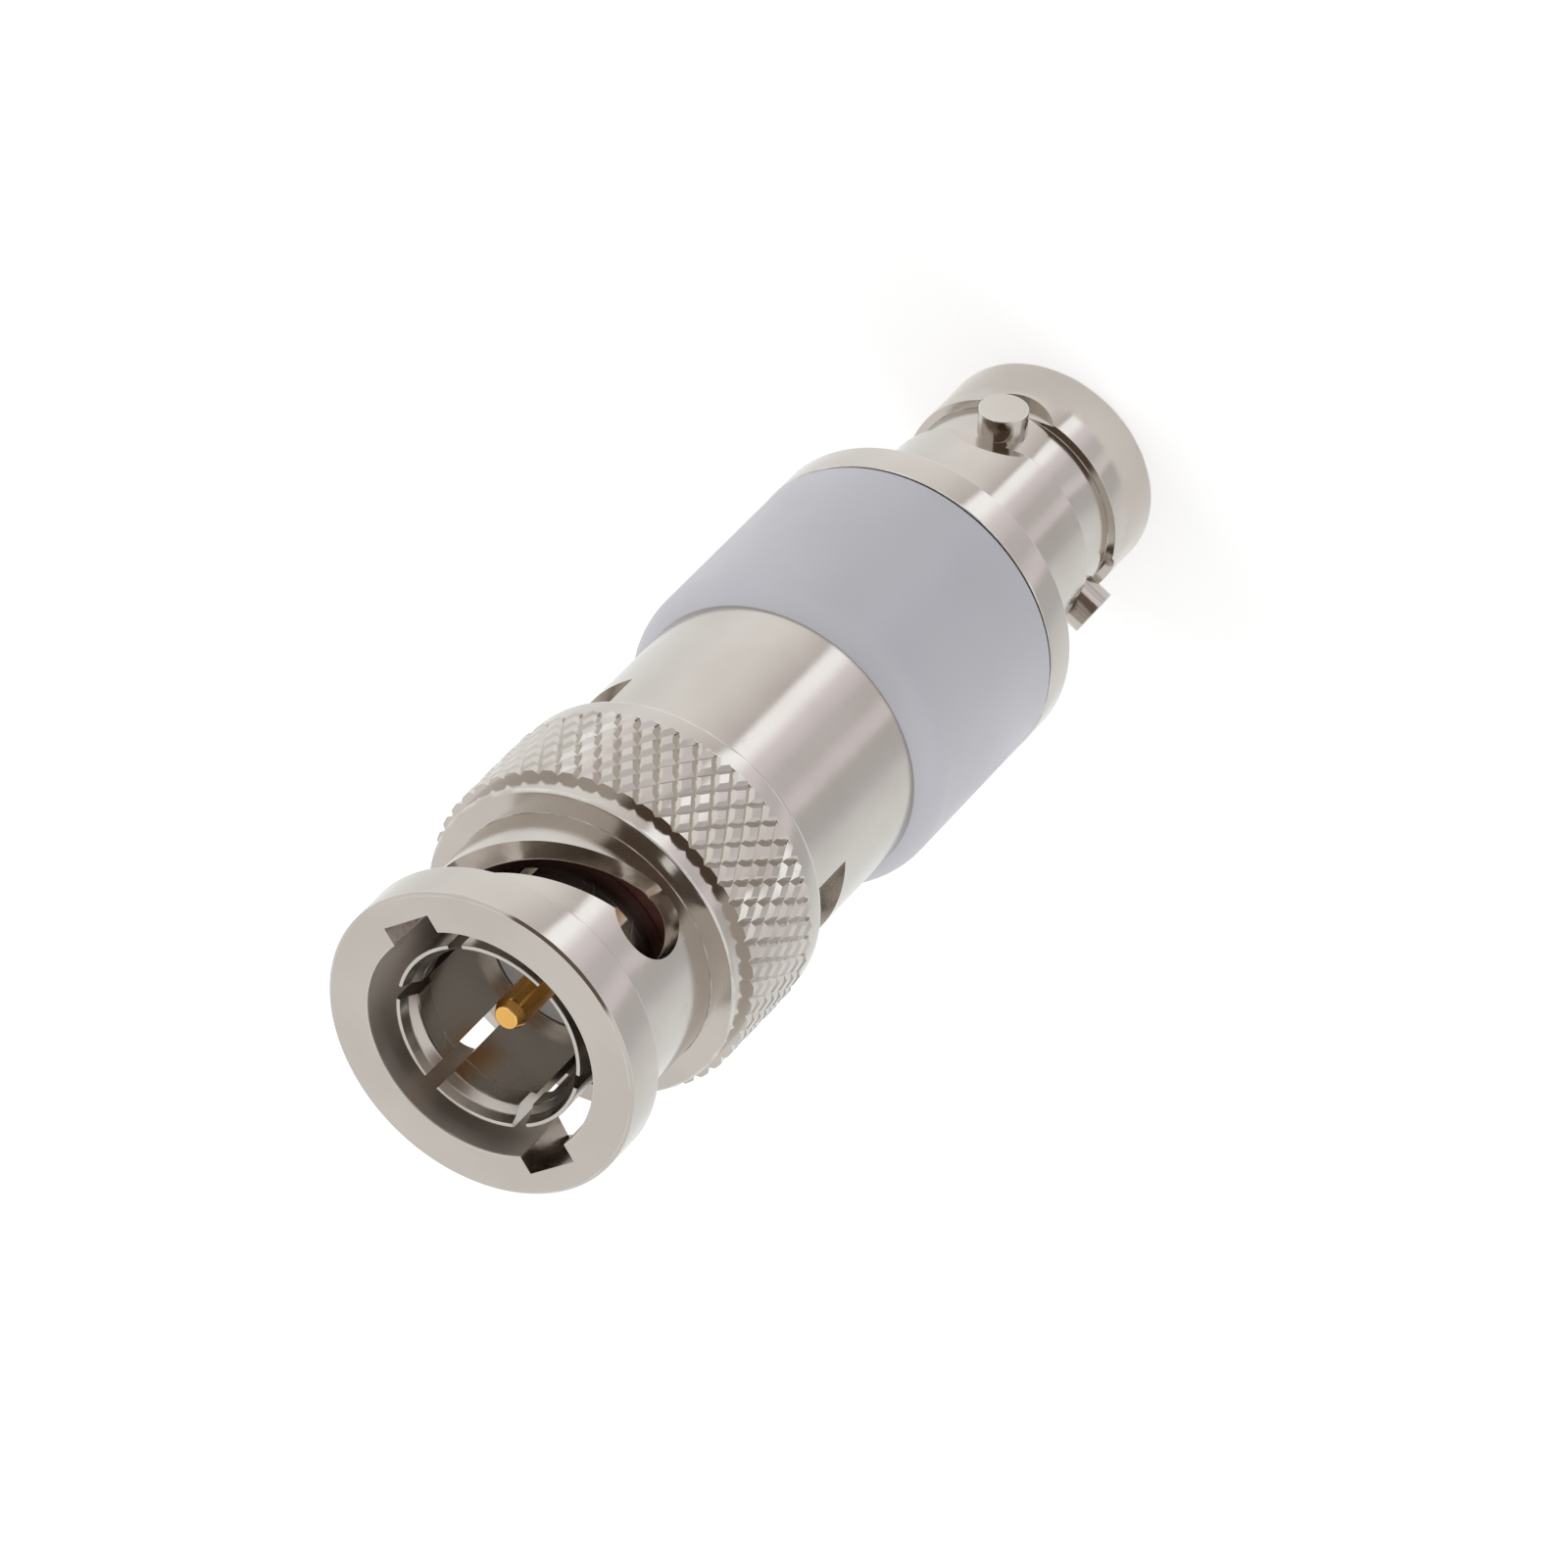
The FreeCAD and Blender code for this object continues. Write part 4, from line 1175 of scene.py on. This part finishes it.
@dataclass
class Middle:
    """Barrel with two wrench flats, and the satin sleeve between it and the jack."""

    barrel_radius: float = 6.22
    barrel_bottom: float = 18.70
    barrel_top: float = 31.65
    foot_radius: float = 5.20
    foot_bore: float = 4.02
    foot_bore_top: float = 21.70
    throat: float = 3.60
    mouth: float = 4.67
    mouth_bottom: float = 28.40
    flat_distance: float = 5.40
    flat_angle: float = 84.5
    flat_bottom: float = 28.10
    sleeve_radius: float = 6.98
    sleeve_bottom: float = 12.70
    sleeve_top: float = 22.60
    sleeve_bore: float = 5.62
    sleeve_mouth: float = 5.22
    web_bore: float = 2.87
    web_bottom: float = 17.20
    groove: float = 0.10
    groove_radius: float = 6.72
    shoulder_corner: float = 22.106
    shoulder_rounding: float = 0.906

    def barrel(self) -> bpy.types.Object:
        """Builds the turned barrel and mills its flats.

        Returns:
            The barrel.
        """
        section = [
            (self.foot_bore, self.barrel_bottom, 0), (self.foot_radius, self.barrel_bottom, 0),
            (self.foot_radius, self.sleeve_top, 0), (self.barrel_radius, self.sleeve_top, 0),
            (self.barrel_radius, self.barrel_top, 0.06), (self.mouth, self.barrel_top, 0.05),
            (self.mouth, self.mouth_bottom, 0), (self.throat, self.mouth_bottom, 0),
            (self.throat, self.foot_bore_top, 0), (self.foot_bore, self.foot_bore_top, 0),
        ]
        piece = made("barrel_turned", turned(section, columns=320))
        outline = rectangle(20, self.flat_bottom, self.barrel_top + 1)
        mills = [prism(outline, self.flat_distance, 9, self.flat_angle + side) for side in (0, 180)]
        return carved(piece, [merged(mills)], LIGHT_MILLING)

    def sleeve(self) -> bpy.types.Object:
        """Builds the sleeve, whose front edge is rounded over to the barrel.

        Returns:
            The sleeve.
        """
        groove_top = self.sleeve_bottom + self.groove
        section = [
            (self.sleeve_bore, self.sleeve_bottom, 0), (self.groove_radius, self.sleeve_bottom, 0),
            (self.groove_radius, groove_top, 0), (self.sleeve_radius, groove_top, 0.04),
            (self.sleeve_radius, self.shoulder_corner, self.shoulder_rounding),
            (self.barrel_radius, self.sleeve_top, 0), (self.sleeve_mouth, self.sleeve_top, 0),
            (self.sleeve_mouth, self.barrel_bottom, 0.02), (self.web_bore, self.barrel_bottom, 0.02),
            (self.web_bore, self.web_bottom, 0.02), (self.sleeve_bore, self.web_bottom, 0),
        ]
        return made("sleeve_turned", turned(section, columns=256, steps=13))

    def dress(self) -> None:
        """Builds the barrel and the sleeve and puts them on the adapter."""
        fitted(self.barrel(), NICKEL, Body.ADAPTER, Slot.NICKEL, "barrel")
        fitted(self.sleeve(), SLEEVE, Body.ADAPTER, Slot.SLEEVE, "insulating_sleeve")


@dataclass
class Plug:
    """Front of the adapter inside the nut: ferrule with six fingers, pin, insulator, gasket, body."""

    ferrule_radius: float = 4.02
    ferrule_bottom: float = 34.70
    finger_tip: float = 44.60
    finger_bore: float = 3.70
    relief_bottom: float = 38.80
    slot_bottom: float = 38.90
    slot: float = 0.65
    first_slot: float = 5.0
    fingers: int = 6
    tip_bore: float = 3.86
    lead_radius: float = 3.72
    lead_bottom: float = 44.20
    bump_radius: float = 3.45
    bump_top: float = 43.80
    bump_bottom: float = 42.90
    bump_foot: float = 42.70
    seat_radius: float = 3.30
    gasket_bottom: float = 36.90
    gasket_top: float = 37.80
    gasket_bore: float = 3.85
    gasket_radius: float = 4.75
    gasket_groove_radius: float = 3.82
    gasket_groove_top: float = 37.85
    pin_radius: float = 0.67
    pin_tip_radius: float = 0.48
    pin_tip: float = 43.25
    pin_taper: float = 42.85
    pin_shank_radius: float = 0.95
    pin_shank_top: float = 38.80
    pin_collar_radius: float = 1.20
    pin_collar_bottom: float = 33.20
    pin_collar_top: float = 34.00
    pin_tail_radius: float = 0.50
    pin_tail_bottom: float = 25.30
    pin_tail_top: float = 28.10
    insulator_radius: float = 3.28
    insulator_top: float = 38.70
    insulator_bore: float = 0.97
    insulator_seat_radius: float = 1.22
    body_bottom: float = 28.40
    body_neck_radius: float = 4.65
    body_flange_radius: float = 5.45
    body_flange_bottom: float = 35.00
    body_seat_radius: float = 4.04

    def ferrule(self) -> bpy.types.Object:
        """Builds the ferrule: six fingers with inner bumps on a tube with a gasket groove.

        Returns:
            The ferrule.
        """
        outer, groove = self.ferrule_radius, self.gasket_groove_radius
        base = turned([
            (self.seat_radius, self.ferrule_bottom, 0), (outer, self.ferrule_bottom, 0.03),
            (outer, self.gasket_bottom, 0), (groove, self.gasket_bottom, 0),
            (groove, self.gasket_groove_top, 0), (outer, self.gasket_groove_top, 0.02),
            (outer, self.slot_bottom, 0), (self.finger_bore, self.slot_bottom, 0),
            (self.finger_bore, self.relief_bottom, 0), (self.seat_radius, self.relief_bottom, 0),
        ], columns=240)
        section = [
            (self.finger_bore, self.slot_bottom, 0), (outer, self.slot_bottom, 0),
            (outer, self.finger_tip, 0.06), (self.tip_bore, self.finger_tip, 0.03),
            (self.lead_radius, self.lead_bottom, 0.05), (self.bump_radius, self.bump_top, 0.08),
            (self.bump_radius, self.bump_bottom, 0.12), (self.finger_bore, self.bump_foot, 0.05),
        ]
        first = self.first_slot + 180 / self.fingers
        tines = all_tines(section, first, self.fingers, self.slot)
        return made("ferrule_fingers", merged([base, *tines]))

    def pin(self) -> bpy.types.Object:
        """Builds the gold pin with its shank, collar and tapered tip.

        Returns:
            The pin.
        """
        tail, shank, collar = self.pin_tail_radius, self.pin_shank_radius, self.pin_collar_radius
        return made("pin_turned", turned([
            (0, self.pin_tail_bottom, 0), (tail, self.pin_tail_bottom, 0.05), (tail, self.pin_tail_top, 0),
            (shank, self.pin_tail_top, 0.03), (shank, self.pin_collar_bottom, 0),
            (collar, self.pin_collar_bottom, 0.03), (collar, self.pin_collar_top, 0.03),
            (shank, self.pin_collar_top, 0), (shank, self.pin_shank_top, 0.04),
            (self.pin_radius, self.pin_shank_top, 0), (self.pin_radius, self.pin_taper, 0.05),
            (self.pin_tip_radius, self.pin_tip, 0.05), (0, self.pin_tip, 0),
        ], closed=False, columns=96))

    def insulator(self) -> bpy.types.Object:
        """Builds the front insulator round the pin.

        Returns:
            The insulator.
        """
        seat = self.insulator_seat_radius
        return made("plug_insulator_turned", turned([
            (seat, self.pin_collar_bottom, 0), (self.insulator_radius, self.pin_collar_bottom, 0),
            (self.insulator_radius, self.insulator_top, 0.06),
            (self.insulator_bore, self.insulator_top, 0.04),
            (self.insulator_bore, self.pin_collar_top, 0), (seat, self.pin_collar_top, 0),
        ], columns=160))

    def gasket(self) -> bpy.types.Object:
        """Builds the rubber ring in the ferrule's groove.

        Returns:
            The gasket.
        """
        return made("gasket_moulded", turned([
            (self.gasket_bore, self.gasket_bottom, 0.05), (self.gasket_radius, self.gasket_bottom, 0.05),
            (self.gasket_radius, self.gasket_top, 0.15), (self.gasket_bore, self.gasket_top, 0.15),
        ], columns=160))

    def body(self) -> bpy.types.Object:
        """Builds the plug's body, whose flange shows through the nut's tracks.

        Returns:
            The body.
        """
        neck, flange = self.body_neck_radius, self.body_flange_radius
        return made("plug_body_turned", turned([
            (self.seat_radius, self.body_bottom, 0.03), (neck, self.body_bottom, 0.05),
            (neck, self.body_flange_bottom, 0.03), (flange, self.body_flange_bottom, 0.06),
            (flange, self.gasket_bottom, 0.06), (self.body_seat_radius, self.gasket_bottom, 0.02),
            (self.body_seat_radius, self.ferrule_bottom, 0), (self.seat_radius, self.ferrule_bottom, 0),
        ], columns=200))

    def dress(self) -> None:
        """Builds the plug's pieces and puts them on the adapter."""
        fitted(self.ferrule(), NICKEL_BORE, Body.ADAPTER, Slot.NICKEL, "outer_contact")
        fitted(self.pin(), GOLD, Body.ADAPTER, Slot.GOLD, "centre_pin")
        fitted(self.insulator(), PLASTIC, Body.ADAPTER, Slot.INSULATOR, "plug_insulator")
        fitted(self.gasket(), RUBBER, Body.ADAPTER, Slot.GASKET, "front_gasket")
        fitted(self.body(), NICKEL, Body.ADAPTER, Slot.NICKEL, "plug_body")


@dataclass
class Nut:
    """Coupling nut: bell, waist with two bayonet tracks, collar, diamond knurl and rear rim."""

    front: float = 45.20
    bell_bottom: float = 43.20
    bell_radius: float = 6.65
    front_chamfer: float = 0.12
    bore: float = 4.90
    waist_radius: float = 5.73
    shoulder: float = 37.70
    collar_radius: float = 6.75
    rim_radius: float = 7.00
    rim_top: float = 32.25
    bottom: float = 31.25
    rear_bore: float = 6.35
    rear_bore_top: float = 31.70
    ring_groove_radius: float = 6.00
    ring_groove_bottom: float = 32.10
    ring_groove_top: float = 32.80
    cavity: float = 5.60
    cavity_top: float = 37.20
    cut_inside: float = 0.6
    cut_outside: float = 0.5
    entry_start: float = 4.0
    entry_angle: float = -69.0
    entry_width: float = 2.30
    entry_floor: float = 5.56
    entry_depth: float = 3.64
    ramp_end_angle: float = 6.0
    ramp_end_depth: float = 5.89
    ramp_width: float = 2.25
    detent_angle: float = 12.5
    detent_depth: float = 5.50
    detent_radius: float = 1.55
    knurl_top: float = 36.80
    knurl_crest: float = 7.075
    knurl_root: float = 6.89
    knurl_starts: int = 50
    knurl_rows: int = 3
    knurl_steps: int = 12
    knurl_flank: float = 0.25
    knurl_lean: float = 0.034
    knurl_seed: int = 7
    knurl_sink: float = 0.3
    knurl_crisp: float = 16.0

    def ramp(self, turn: float) -> Skin:
        """Cutter of one track's ramp, from its entry to its end.

        At the radius d, an outline point with the way s round the mean radius m and the height z
        lies at the angle s/m. The outline is a slot with round ends along the line from the entry
        to the end: each half circle is its centre plus w/2 (cos a, sin a). The two caps are strips
        of quads across the slot, so they keep to their cylinders.

        Args:
            turn: angle by which the track is turned about the axis, in degrees.

        Returns:
            The closed cutter.
        """
        near, far = self.bore - self.cut_inside, self.waist_radius + self.cut_outside
        mean = (near + far) / 2
        start = np.array([math.radians(self.entry_angle) * mean, self.front - self.entry_depth])
        end = np.array([math.radians(self.ramp_end_angle) * mean, self.front - self.ramp_end_depth])
        lean = math.atan2(end[1] - start[1], end[0] - start[0])
        half = np.linspace(-math.pi / 2, math.pi / 2, 33)
        arc = self.ramp_width / 2 * np.stack([np.cos(half + lean), np.sin(half + lean)], axis=1)
        way = np.linspace(0, 1, 48)[1:-1, None]
        outline = np.concatenate([
            end + arc,
            (end + arc[-1]) * (1 - way) + (start - arc[0]) * way,
            start - arc,
            (start - arc[-1]) * (1 - way) + (end + arc[0]) * way,
        ])
        a = -math.pi / 2 - outline[:, 0] / mean - math.radians(turn)
        flat = np.stack([np.cos(a), np.sin(a)], axis=1)
        points = np.concatenate([
            np.column_stack([near * flat, outline[:, 1]]), np.column_stack([far * flat, outline[:, 1]])
        ])
        count = len(outline)
        here = np.arange(count)
        following = (here + 1) % count
        sides = np.stack([following, here, here + count, following + count], axis=1)
        nose, tail = len(arc) // 2, len(arc) + len(way) + len(arc) // 2
        one = np.arange(nose, tail)
        other = (2 * nose - one) % count
        bottom = np.stack([one, one + 1, (other - 1) % count, other], axis=1)
        ends = [bottom[0, [0, 1, 2]], bottom[-1, [0, 1, 3]]]
        inner = bottom[1:-1].tolist() + [end.tolist() for end in ends]
        outer = [[index + count for index in face[::-1]] for face in inner]
        return Skin(points, sides.tolist() + inner + outer)

    def nut(self) -> bpy.types.Object:
        """Builds the turned nut and cuts both tracks out of it.

        Returns:
            The nut without its knurl.
        """
        section = [
            (self.rear_bore, self.bottom, 0.05), (self.rim_radius, self.bottom, 0.30),
            (self.rim_radius, self.rim_top, 0.06), (self.collar_radius, self.rim_top, 0.02),
            (self.collar_radius, self.shoulder, 0.14), (self.waist_radius, self.shoulder, 0.05),
            (self.waist_radius, self.bell_bottom, 0.05), (self.bell_radius, self.bell_bottom, 0.12),
            (self.bell_radius, self.front - self.front_chamfer, 0.02),
            (self.bell_radius - self.front_chamfer, self.front, 0.02),
            (self.bore, self.front, 0.08), (self.bore, self.cavity_top, 0),
            (self.cavity, self.cavity_top, 0), (self.cavity, self.ring_groove_top, 0),
            (self.ring_groove_radius, self.ring_groove_top, 0),
            (self.ring_groove_radius, self.ring_groove_bottom, 0),
            (self.cavity, self.ring_groove_bottom, 0), (self.cavity, self.rear_bore_top, 0),
            (self.rear_bore, self.rear_bore_top, 0),
        ]
        piece = made("nut_turned", turned(section, columns=360))
        entry = rectangle(self.entry_width, self.front - self.entry_depth, self.front + 1)
        detent = circle(self.detent_radius, self.front - self.detent_depth)
        near, far = self.bore - self.cut_inside, self.waist_radius + self.cut_outside
        turns = (0, 180)
        low, floor = self.entry_start, self.entry_floor
        tracks = [
            merged([prism(entry, low, floor, self.entry_angle + turn) for turn in turns]),
            merged([self.ramp(turn) for turn in turns]),
            merged([prism(detent, near, far, self.detent_angle + turn) for turn in turns]),
        ]
        return carved(piece, tracks, HEAVY_MILLING)

    def knurl(self) -> bpy.types.Object:
        """Builds the band of diamonds between two families of helical grooves.

        With s counting the grooves round the band and t counting diamonds up it, the grooves lie
        where a = s + t or b = s - t is whole. The radius is root + (crest - root + lean) min(1, d/f),
        where d is the smaller distance of a and b from a whole number and f is the flank. The lean
        is p u + q v, where u and v run from -1 to 1 across a diamond, and p and q are drawn by lot
        for each diamond, because no two are rolled quite alike. The grid's steps in s and t are the
        same, so grooves run along its diagonals, and each cell is split along the diagonal whose
        ends are more alike in radius.

        Returns:
            The band, closed inside the nut's collar.
        """
        rows, columns = self.knurl_rows * self.knurl_steps + 1, self.knurl_starts * self.knurl_steps
        s = np.arange(columns)[None, :] / self.knurl_steps
        t = np.arange(rows)[:, None] / self.knurl_steps
        a, b = s + t, s - t
        away = np.minimum(np.abs(a - np.round(a)), np.abs(b - np.round(b)))
        draw = np.random.default_rng(self.knurl_seed)
        lots = draw.uniform(-0.5, 0.5, (2, self.knurl_starts, self.knurl_starts))
        first, second = np.floor(a).astype(int), np.floor(b).astype(int)
        p, q = lots[:, first % self.knurl_starts, second % self.knurl_starts]
        lean = self.knurl_lean * (p * (2 * (a - first) - 1) + q * (2 * (b - second) - 1))
        rise = self.knurl_crest - self.knurl_root + lean
        radius = self.knurl_root + rise * np.minimum(1, away / self.knurl_flank)
        height = self.rim_top + (self.knurl_top - self.rim_top) * t / self.knurl_rows
        inside = np.full((1, columns), self.collar_radius - self.knurl_sink)
        radius = np.vstack([inside, radius, inside])
        height = np.vstack([height[:1], height, height[-1:]]) + 0 * s
        turn = 2 * math.pi * s / self.knurl_starts + 0 * radius
        points = np.stack([radius * np.cos(turn), radius * np.sin(turn), height], axis=2).reshape(-1, 3)
        quads = grid_quads(rows + 2, columns, True, True)
        level = radius.reshape(-1)[quads]
        alike = np.abs(level[:, 0] - level[:, 2]) <= np.abs(level[:, 1] - level[:, 3])
        split = np.where(alike[:, None], quads[:, [0, 1, 2, 0, 2, 3]], quads[:, [0, 1, 3, 1, 2, 3]])
        band = made("nut_knurl", Skin(points, split.reshape(-1, 3).tolist()))
        band.data.set_sharp_from_angle(angle=math.radians(self.knurl_crisp))
        return band

    def dress(self) -> None:
        """Builds the nut and its knurl and puts them on the nut's body."""
        fitted(self.nut(), NICKEL_NUT, Body.NUT, Slot.NICKEL, "coupling_nut")
        fitted(self.knurl(), NICKEL_KNURL, Body.NUT, Slot.NICKEL, "coupling_nut")


@dataclass
class HiddenNodes:
    """CAD nodes that stay as they are and only get their finish."""

    finishes: dict[str, Finish] = field(default_factory=lambda: {
        "lock_ring": NICKEL_BORE,
        "barrel_insulator": PLASTIC,
        "contact_link": GOLD,
        "insulator_bushing": PLASTIC,
        "wave_washer": SPRING,
        "thrust_washer": SPRING,
        "retaining_ring": SPRING,
    })

    def dress(self) -> None:
        """Gives each node its material."""
        for name, finish in self.finishes.items():
            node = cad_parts[name]
            node.data.materials.clear()
            node.data.materials.append(finish.material())
            LOG.info("%s: CAD node, %s", name, finish.name)


# Studio


@dataclass
class Studio:
    """Pale floor, soft light, two glowing sheets that only mirrors show as painted reflections, and the
    camera.
    """

    floor_size: float = 6000.0
    floor_albedo: float = 0.70
    floor_glow: float = 0.45
    sky: float = 0.76
    left_power: float = 2.0
    right_power: float = 1.9
    lamp_side: float = 0.75
    lamp_back: float = 0.10
    lamp_height: float = 0.40
    lamp_size: float = 0.6
    lamp_aim: float = 0.022
    shade_distance: float = 650.0
    shade_radius: float = 400.0
    shade_light: Tint = (0.18, 0.14, 0.115)
    shade_points: int = 64
    lens: float = 236.13
    camera_place: Vector = (0.0, -0.28118, 0.30977)
    camera_right: Vector = (-0.71387, -0.50102, -0.48926)
    camera_up: Vector = (0.70027, -0.50739, -0.50217)
    camera_back: Vector = (0.00335, -0.70110, 0.71306)
    wall_radius: float = 6.0
    painted_reflection_ways: tuple[float, ...] = (0.3, 3.0, 10.0, 40.0, 150.0, 700.0)
    painted_reflection_height: float = 0.4
    # Painted reflection bands: angle about the axis in degrees, then red, green and blue light.
    stops: tuple[tuple[float, float, float, float], ...] = (
        (-90.0, 0.98, 1.00, 1.00), (-55.0, 1.06, 1.08, 1.09), (-42.0, 1.16, 1.18, 1.20),
        (-27.0, 1.14, 1.15, 1.15), (-20.0, 1.03, 1.03, 1.03), (-13.0, 0.86, 0.84, 0.84),
        (-10.2, 0.76, 0.73, 0.74), (-9.4, 1.56, 1.62, 1.70), (-4.2, 1.56, 1.62, 1.70),
        (-1.5, 1.26, 1.25, 1.32), (0.0, 1.12, 1.08, 1.16), (5.0, 0.96, 0.92, 0.99),
        (8.0, 0.82, 0.80, 0.83), (14.0, 0.78, 0.78, 0.80), (18.0, 0.98, 0.94, 1.00),
        (22.0, 1.00, 0.96, 1.02), (25.0, 0.70, 0.69, 0.70), (35.0, 0.72, 0.73, 0.75),
        (42.0, 0.92, 0.94, 0.96), (53.0, 1.02, 1.05, 1.06), (67.0, 1.00, 1.03, 1.04),
        (90.0, 0.98, 1.00, 1.00),
    )

    def floor(self) -> None:
        """Builds the floor: a plain pale sheet that glows to white where a camera or a mirror sees it."""
        half = self.floor_size / 2
        square = np.array([[-half, -half, 0], [half, -half, 0], [half, half, 0], [-half, half, 0]])
        floor = made("floor", Skin(square, [[0, 1, 2, 3]]))
        material, tree = blank_material("floor, pale")
        albedo = self.floor_albedo
        matt = tree.add("ShaderNodeBsdfDiffuse", Color=(albedo, albedo, albedo, 1.0))
        strength = tree.math("MULTIPLY", seen_directly(tree), self.floor_glow)
        glow = tree.add("ShaderNodeEmission", Strength=strength)
        both = tree.add("ShaderNodeAddShader", i0=matt.outputs[0], i1=glow.outputs[0])
        tree.add("ShaderNodeOutputMaterial", Surface=both.outputs[0])
        floor.data.materials.append(material)

    def unseen(self, name: str, skin: Skin, light: np.ndarray) -> None:
        """Stages a glowing surface that only mirrors show, as a painted reflection.

        Args:
            name: name of the surface.
            skin: the surface in millimetres.
            light: red, green and blue light of each of its points.
        """
        piece = made(name, skin)
        colours = np.column_stack([light, np.ones(len(light))]).astype(np.float32)
        piece.data.attributes.new("light", "FLOAT_COLOR", "POINT").data.foreach_set("color", colours.ravel())
        material, tree = blank_material(name)
        colour = tree.add("ShaderNodeAttribute", {"attribute_name": "light"}).outputs["Color"]
        glow = tree.add("ShaderNodeEmission", Color=colour)
        tree.add("ShaderNodeOutputMaterial", Surface=glow.outputs[0])
        piece.data.materials.append(material)
        piece.visible_camera = False
        piece.visible_diffuse = False
        piece.visible_shadow = False

    def painted_reflection_sheet(self) -> None:
        """Builds the glowing sheet on the floor that upright walls mirror: painted reflections in bands of
        light and shade.

        Seen from the camera, a wall at the angle p about the axis mirrors floor points at
        w e(p) + d e(2p), where w is the wall's radius, e(p) points from the axis towards p, and d
        grows with the wall's height. The sheet is that surface of p and d, and its light at p is
        read off the stops by straight lines between them. The stops were worked out from colour
        readings of the photograph, so the bands repeat the photograph's.
        """
        angle = np.linspace(-90, 90, 721)[None, :]
        way = np.array(self.painted_reflection_ways)[:, None]
        p = np.radians(angle)
        x = -self.wall_radius * np.sin(p) - way * np.sin(2 * p)
        y = -self.wall_radius * np.cos(p) - way * np.cos(2 * p)
        points = np.stack([x, y, self.painted_reflection_height + 0 * x], axis=2).reshape(-1, 3)
        stops = np.array(self.stops)
        bands = [np.interp(angle[0], stops[:, 0], stops[:, band]) for band in (1, 2, 3)]
        faces = grid_quads(len(way), angle.size, False, False)[:, ::-1]
        light = np.tile(np.stack(bands, axis=1), (len(way), 1))
        self.unseen("painted_reflection_sheet", Skin(points, faces.tolist()), light)

    def shade(self) -> None:
        """Builds the dark round sheet behind the camera: painted shade that only mirrors show, its size and
        light tuned to the photograph.
        """
        a = np.arange(self.shade_points) * 2 * math.pi / self.shade_points
        back, right, up = np.array([[0.0, -0.701, 0.713], [1.0, 0.0, 0.0], [0.0, 0.713, 0.701]])
        way_round = np.cos(a)[:, None] * right + np.sin(a)[:, None] * up
        ring = self.shade_distance * back + self.shade_radius * way_round
        dark = np.tile(self.shade_light, (len(a), 1))
        self.unseen("shade", Skin(ring, [list(range(len(a)))]), dark)

    def world(self) -> None:
        """Builds an even sky, white where a camera or a mirror sees it."""
        world = bpy.data.worlds.new("studio")
        bpy.context.scene.world = world
        world.use_nodes = True
        world.node_tree.nodes.clear()
        tree = Tree(world.node_tree)
        lift = tree.math("MULTIPLY", seen_directly(tree), 1.0 - self.sky)
        strength = tree.math("ADD", self.sky, lift)
        sky = tree.add("ShaderNodeBackground", Color=(1.0, 1.0, 1.0, 1.0), Strength=strength)
        tree.add("ShaderNodeOutputWorld", Surface=sky.outputs[0])

    def lamp(self, name: str, side: float, power: float) -> None:
        """Adds a square soft lamp that faces the object's middle.

        Args:
            name: name of the lamp.
            side: 1 for the side of +X and -1 for the other.
            power: its power in watts.
        """
        place = (side * self.lamp_side, self.lamp_back, self.lamp_height)
        data = bpy.data.lights.new(name, "AREA")
        data.size = self.lamp_size
        data.energy = power
        lamp = bpy.data.objects.new(name, data)
        back = np.array(place) - np.array([0, 0, self.lamp_aim])
        back /= np.linalg.norm(back)
        right = np.cross([0.0, 0.0, 1.0], back)
        right /= np.linalg.norm(right)
        up = np.cross(back, right)
        turn = Matrix(np.stack([right, up, back], axis=1).tolist()).to_4x4()
        lamp.matrix_world = Matrix.Translation(place) @ turn
        lamp.visible_camera = False
        lamp.visible_glossy = False
        bpy.context.scene.collection.objects.link(lamp)

    def camera(self) -> None:
        """Places the camera at the photograph's viewing angle."""
        data = bpy.data.cameras.new("camera")
        data.lens = self.lens
        data.sensor_width = 36.0
        data.sensor_fit = "HORIZONTAL"
        data.clip_start = 0.01
        data.clip_end = 20.0
        camera = bpy.data.objects.new("camera", data)
        turn = Matrix((self.camera_right, self.camera_up, self.camera_back)).transposed().to_4x4()
        camera.matrix_world = Matrix.Translation(self.camera_place) @ turn
        bpy.context.scene.collection.objects.link(camera)
        bpy.context.scene.camera = camera

    def build(self) -> None:
        """Builds the whole studio."""
        bpy.context.scene.view_settings.view_transform = "Standard"
        self.camera()
        self.world()
        self.floor()
        self.painted_reflection_sheet()
        self.shade()
        self.lamp("left", 1, self.left_power)
        self.lamp("right", -1, self.right_power)
        LOG.info("studio: camera, sky, floor, reflector, shade and two lamps")


def main() -> None:
    """Builds the studio and every sub-assembly in order."""
    logging.basicConfig(level=logging.INFO, format="%(name)s: %(message)s")
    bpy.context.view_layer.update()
    Studio().build()
    Effects().build()
    for assembly in (JackShell(), JackInside(), Middle(), Plug(), Nut(), HiddenNodes()):
        assembly.dress()


if __name__ == "__main__":
    main()
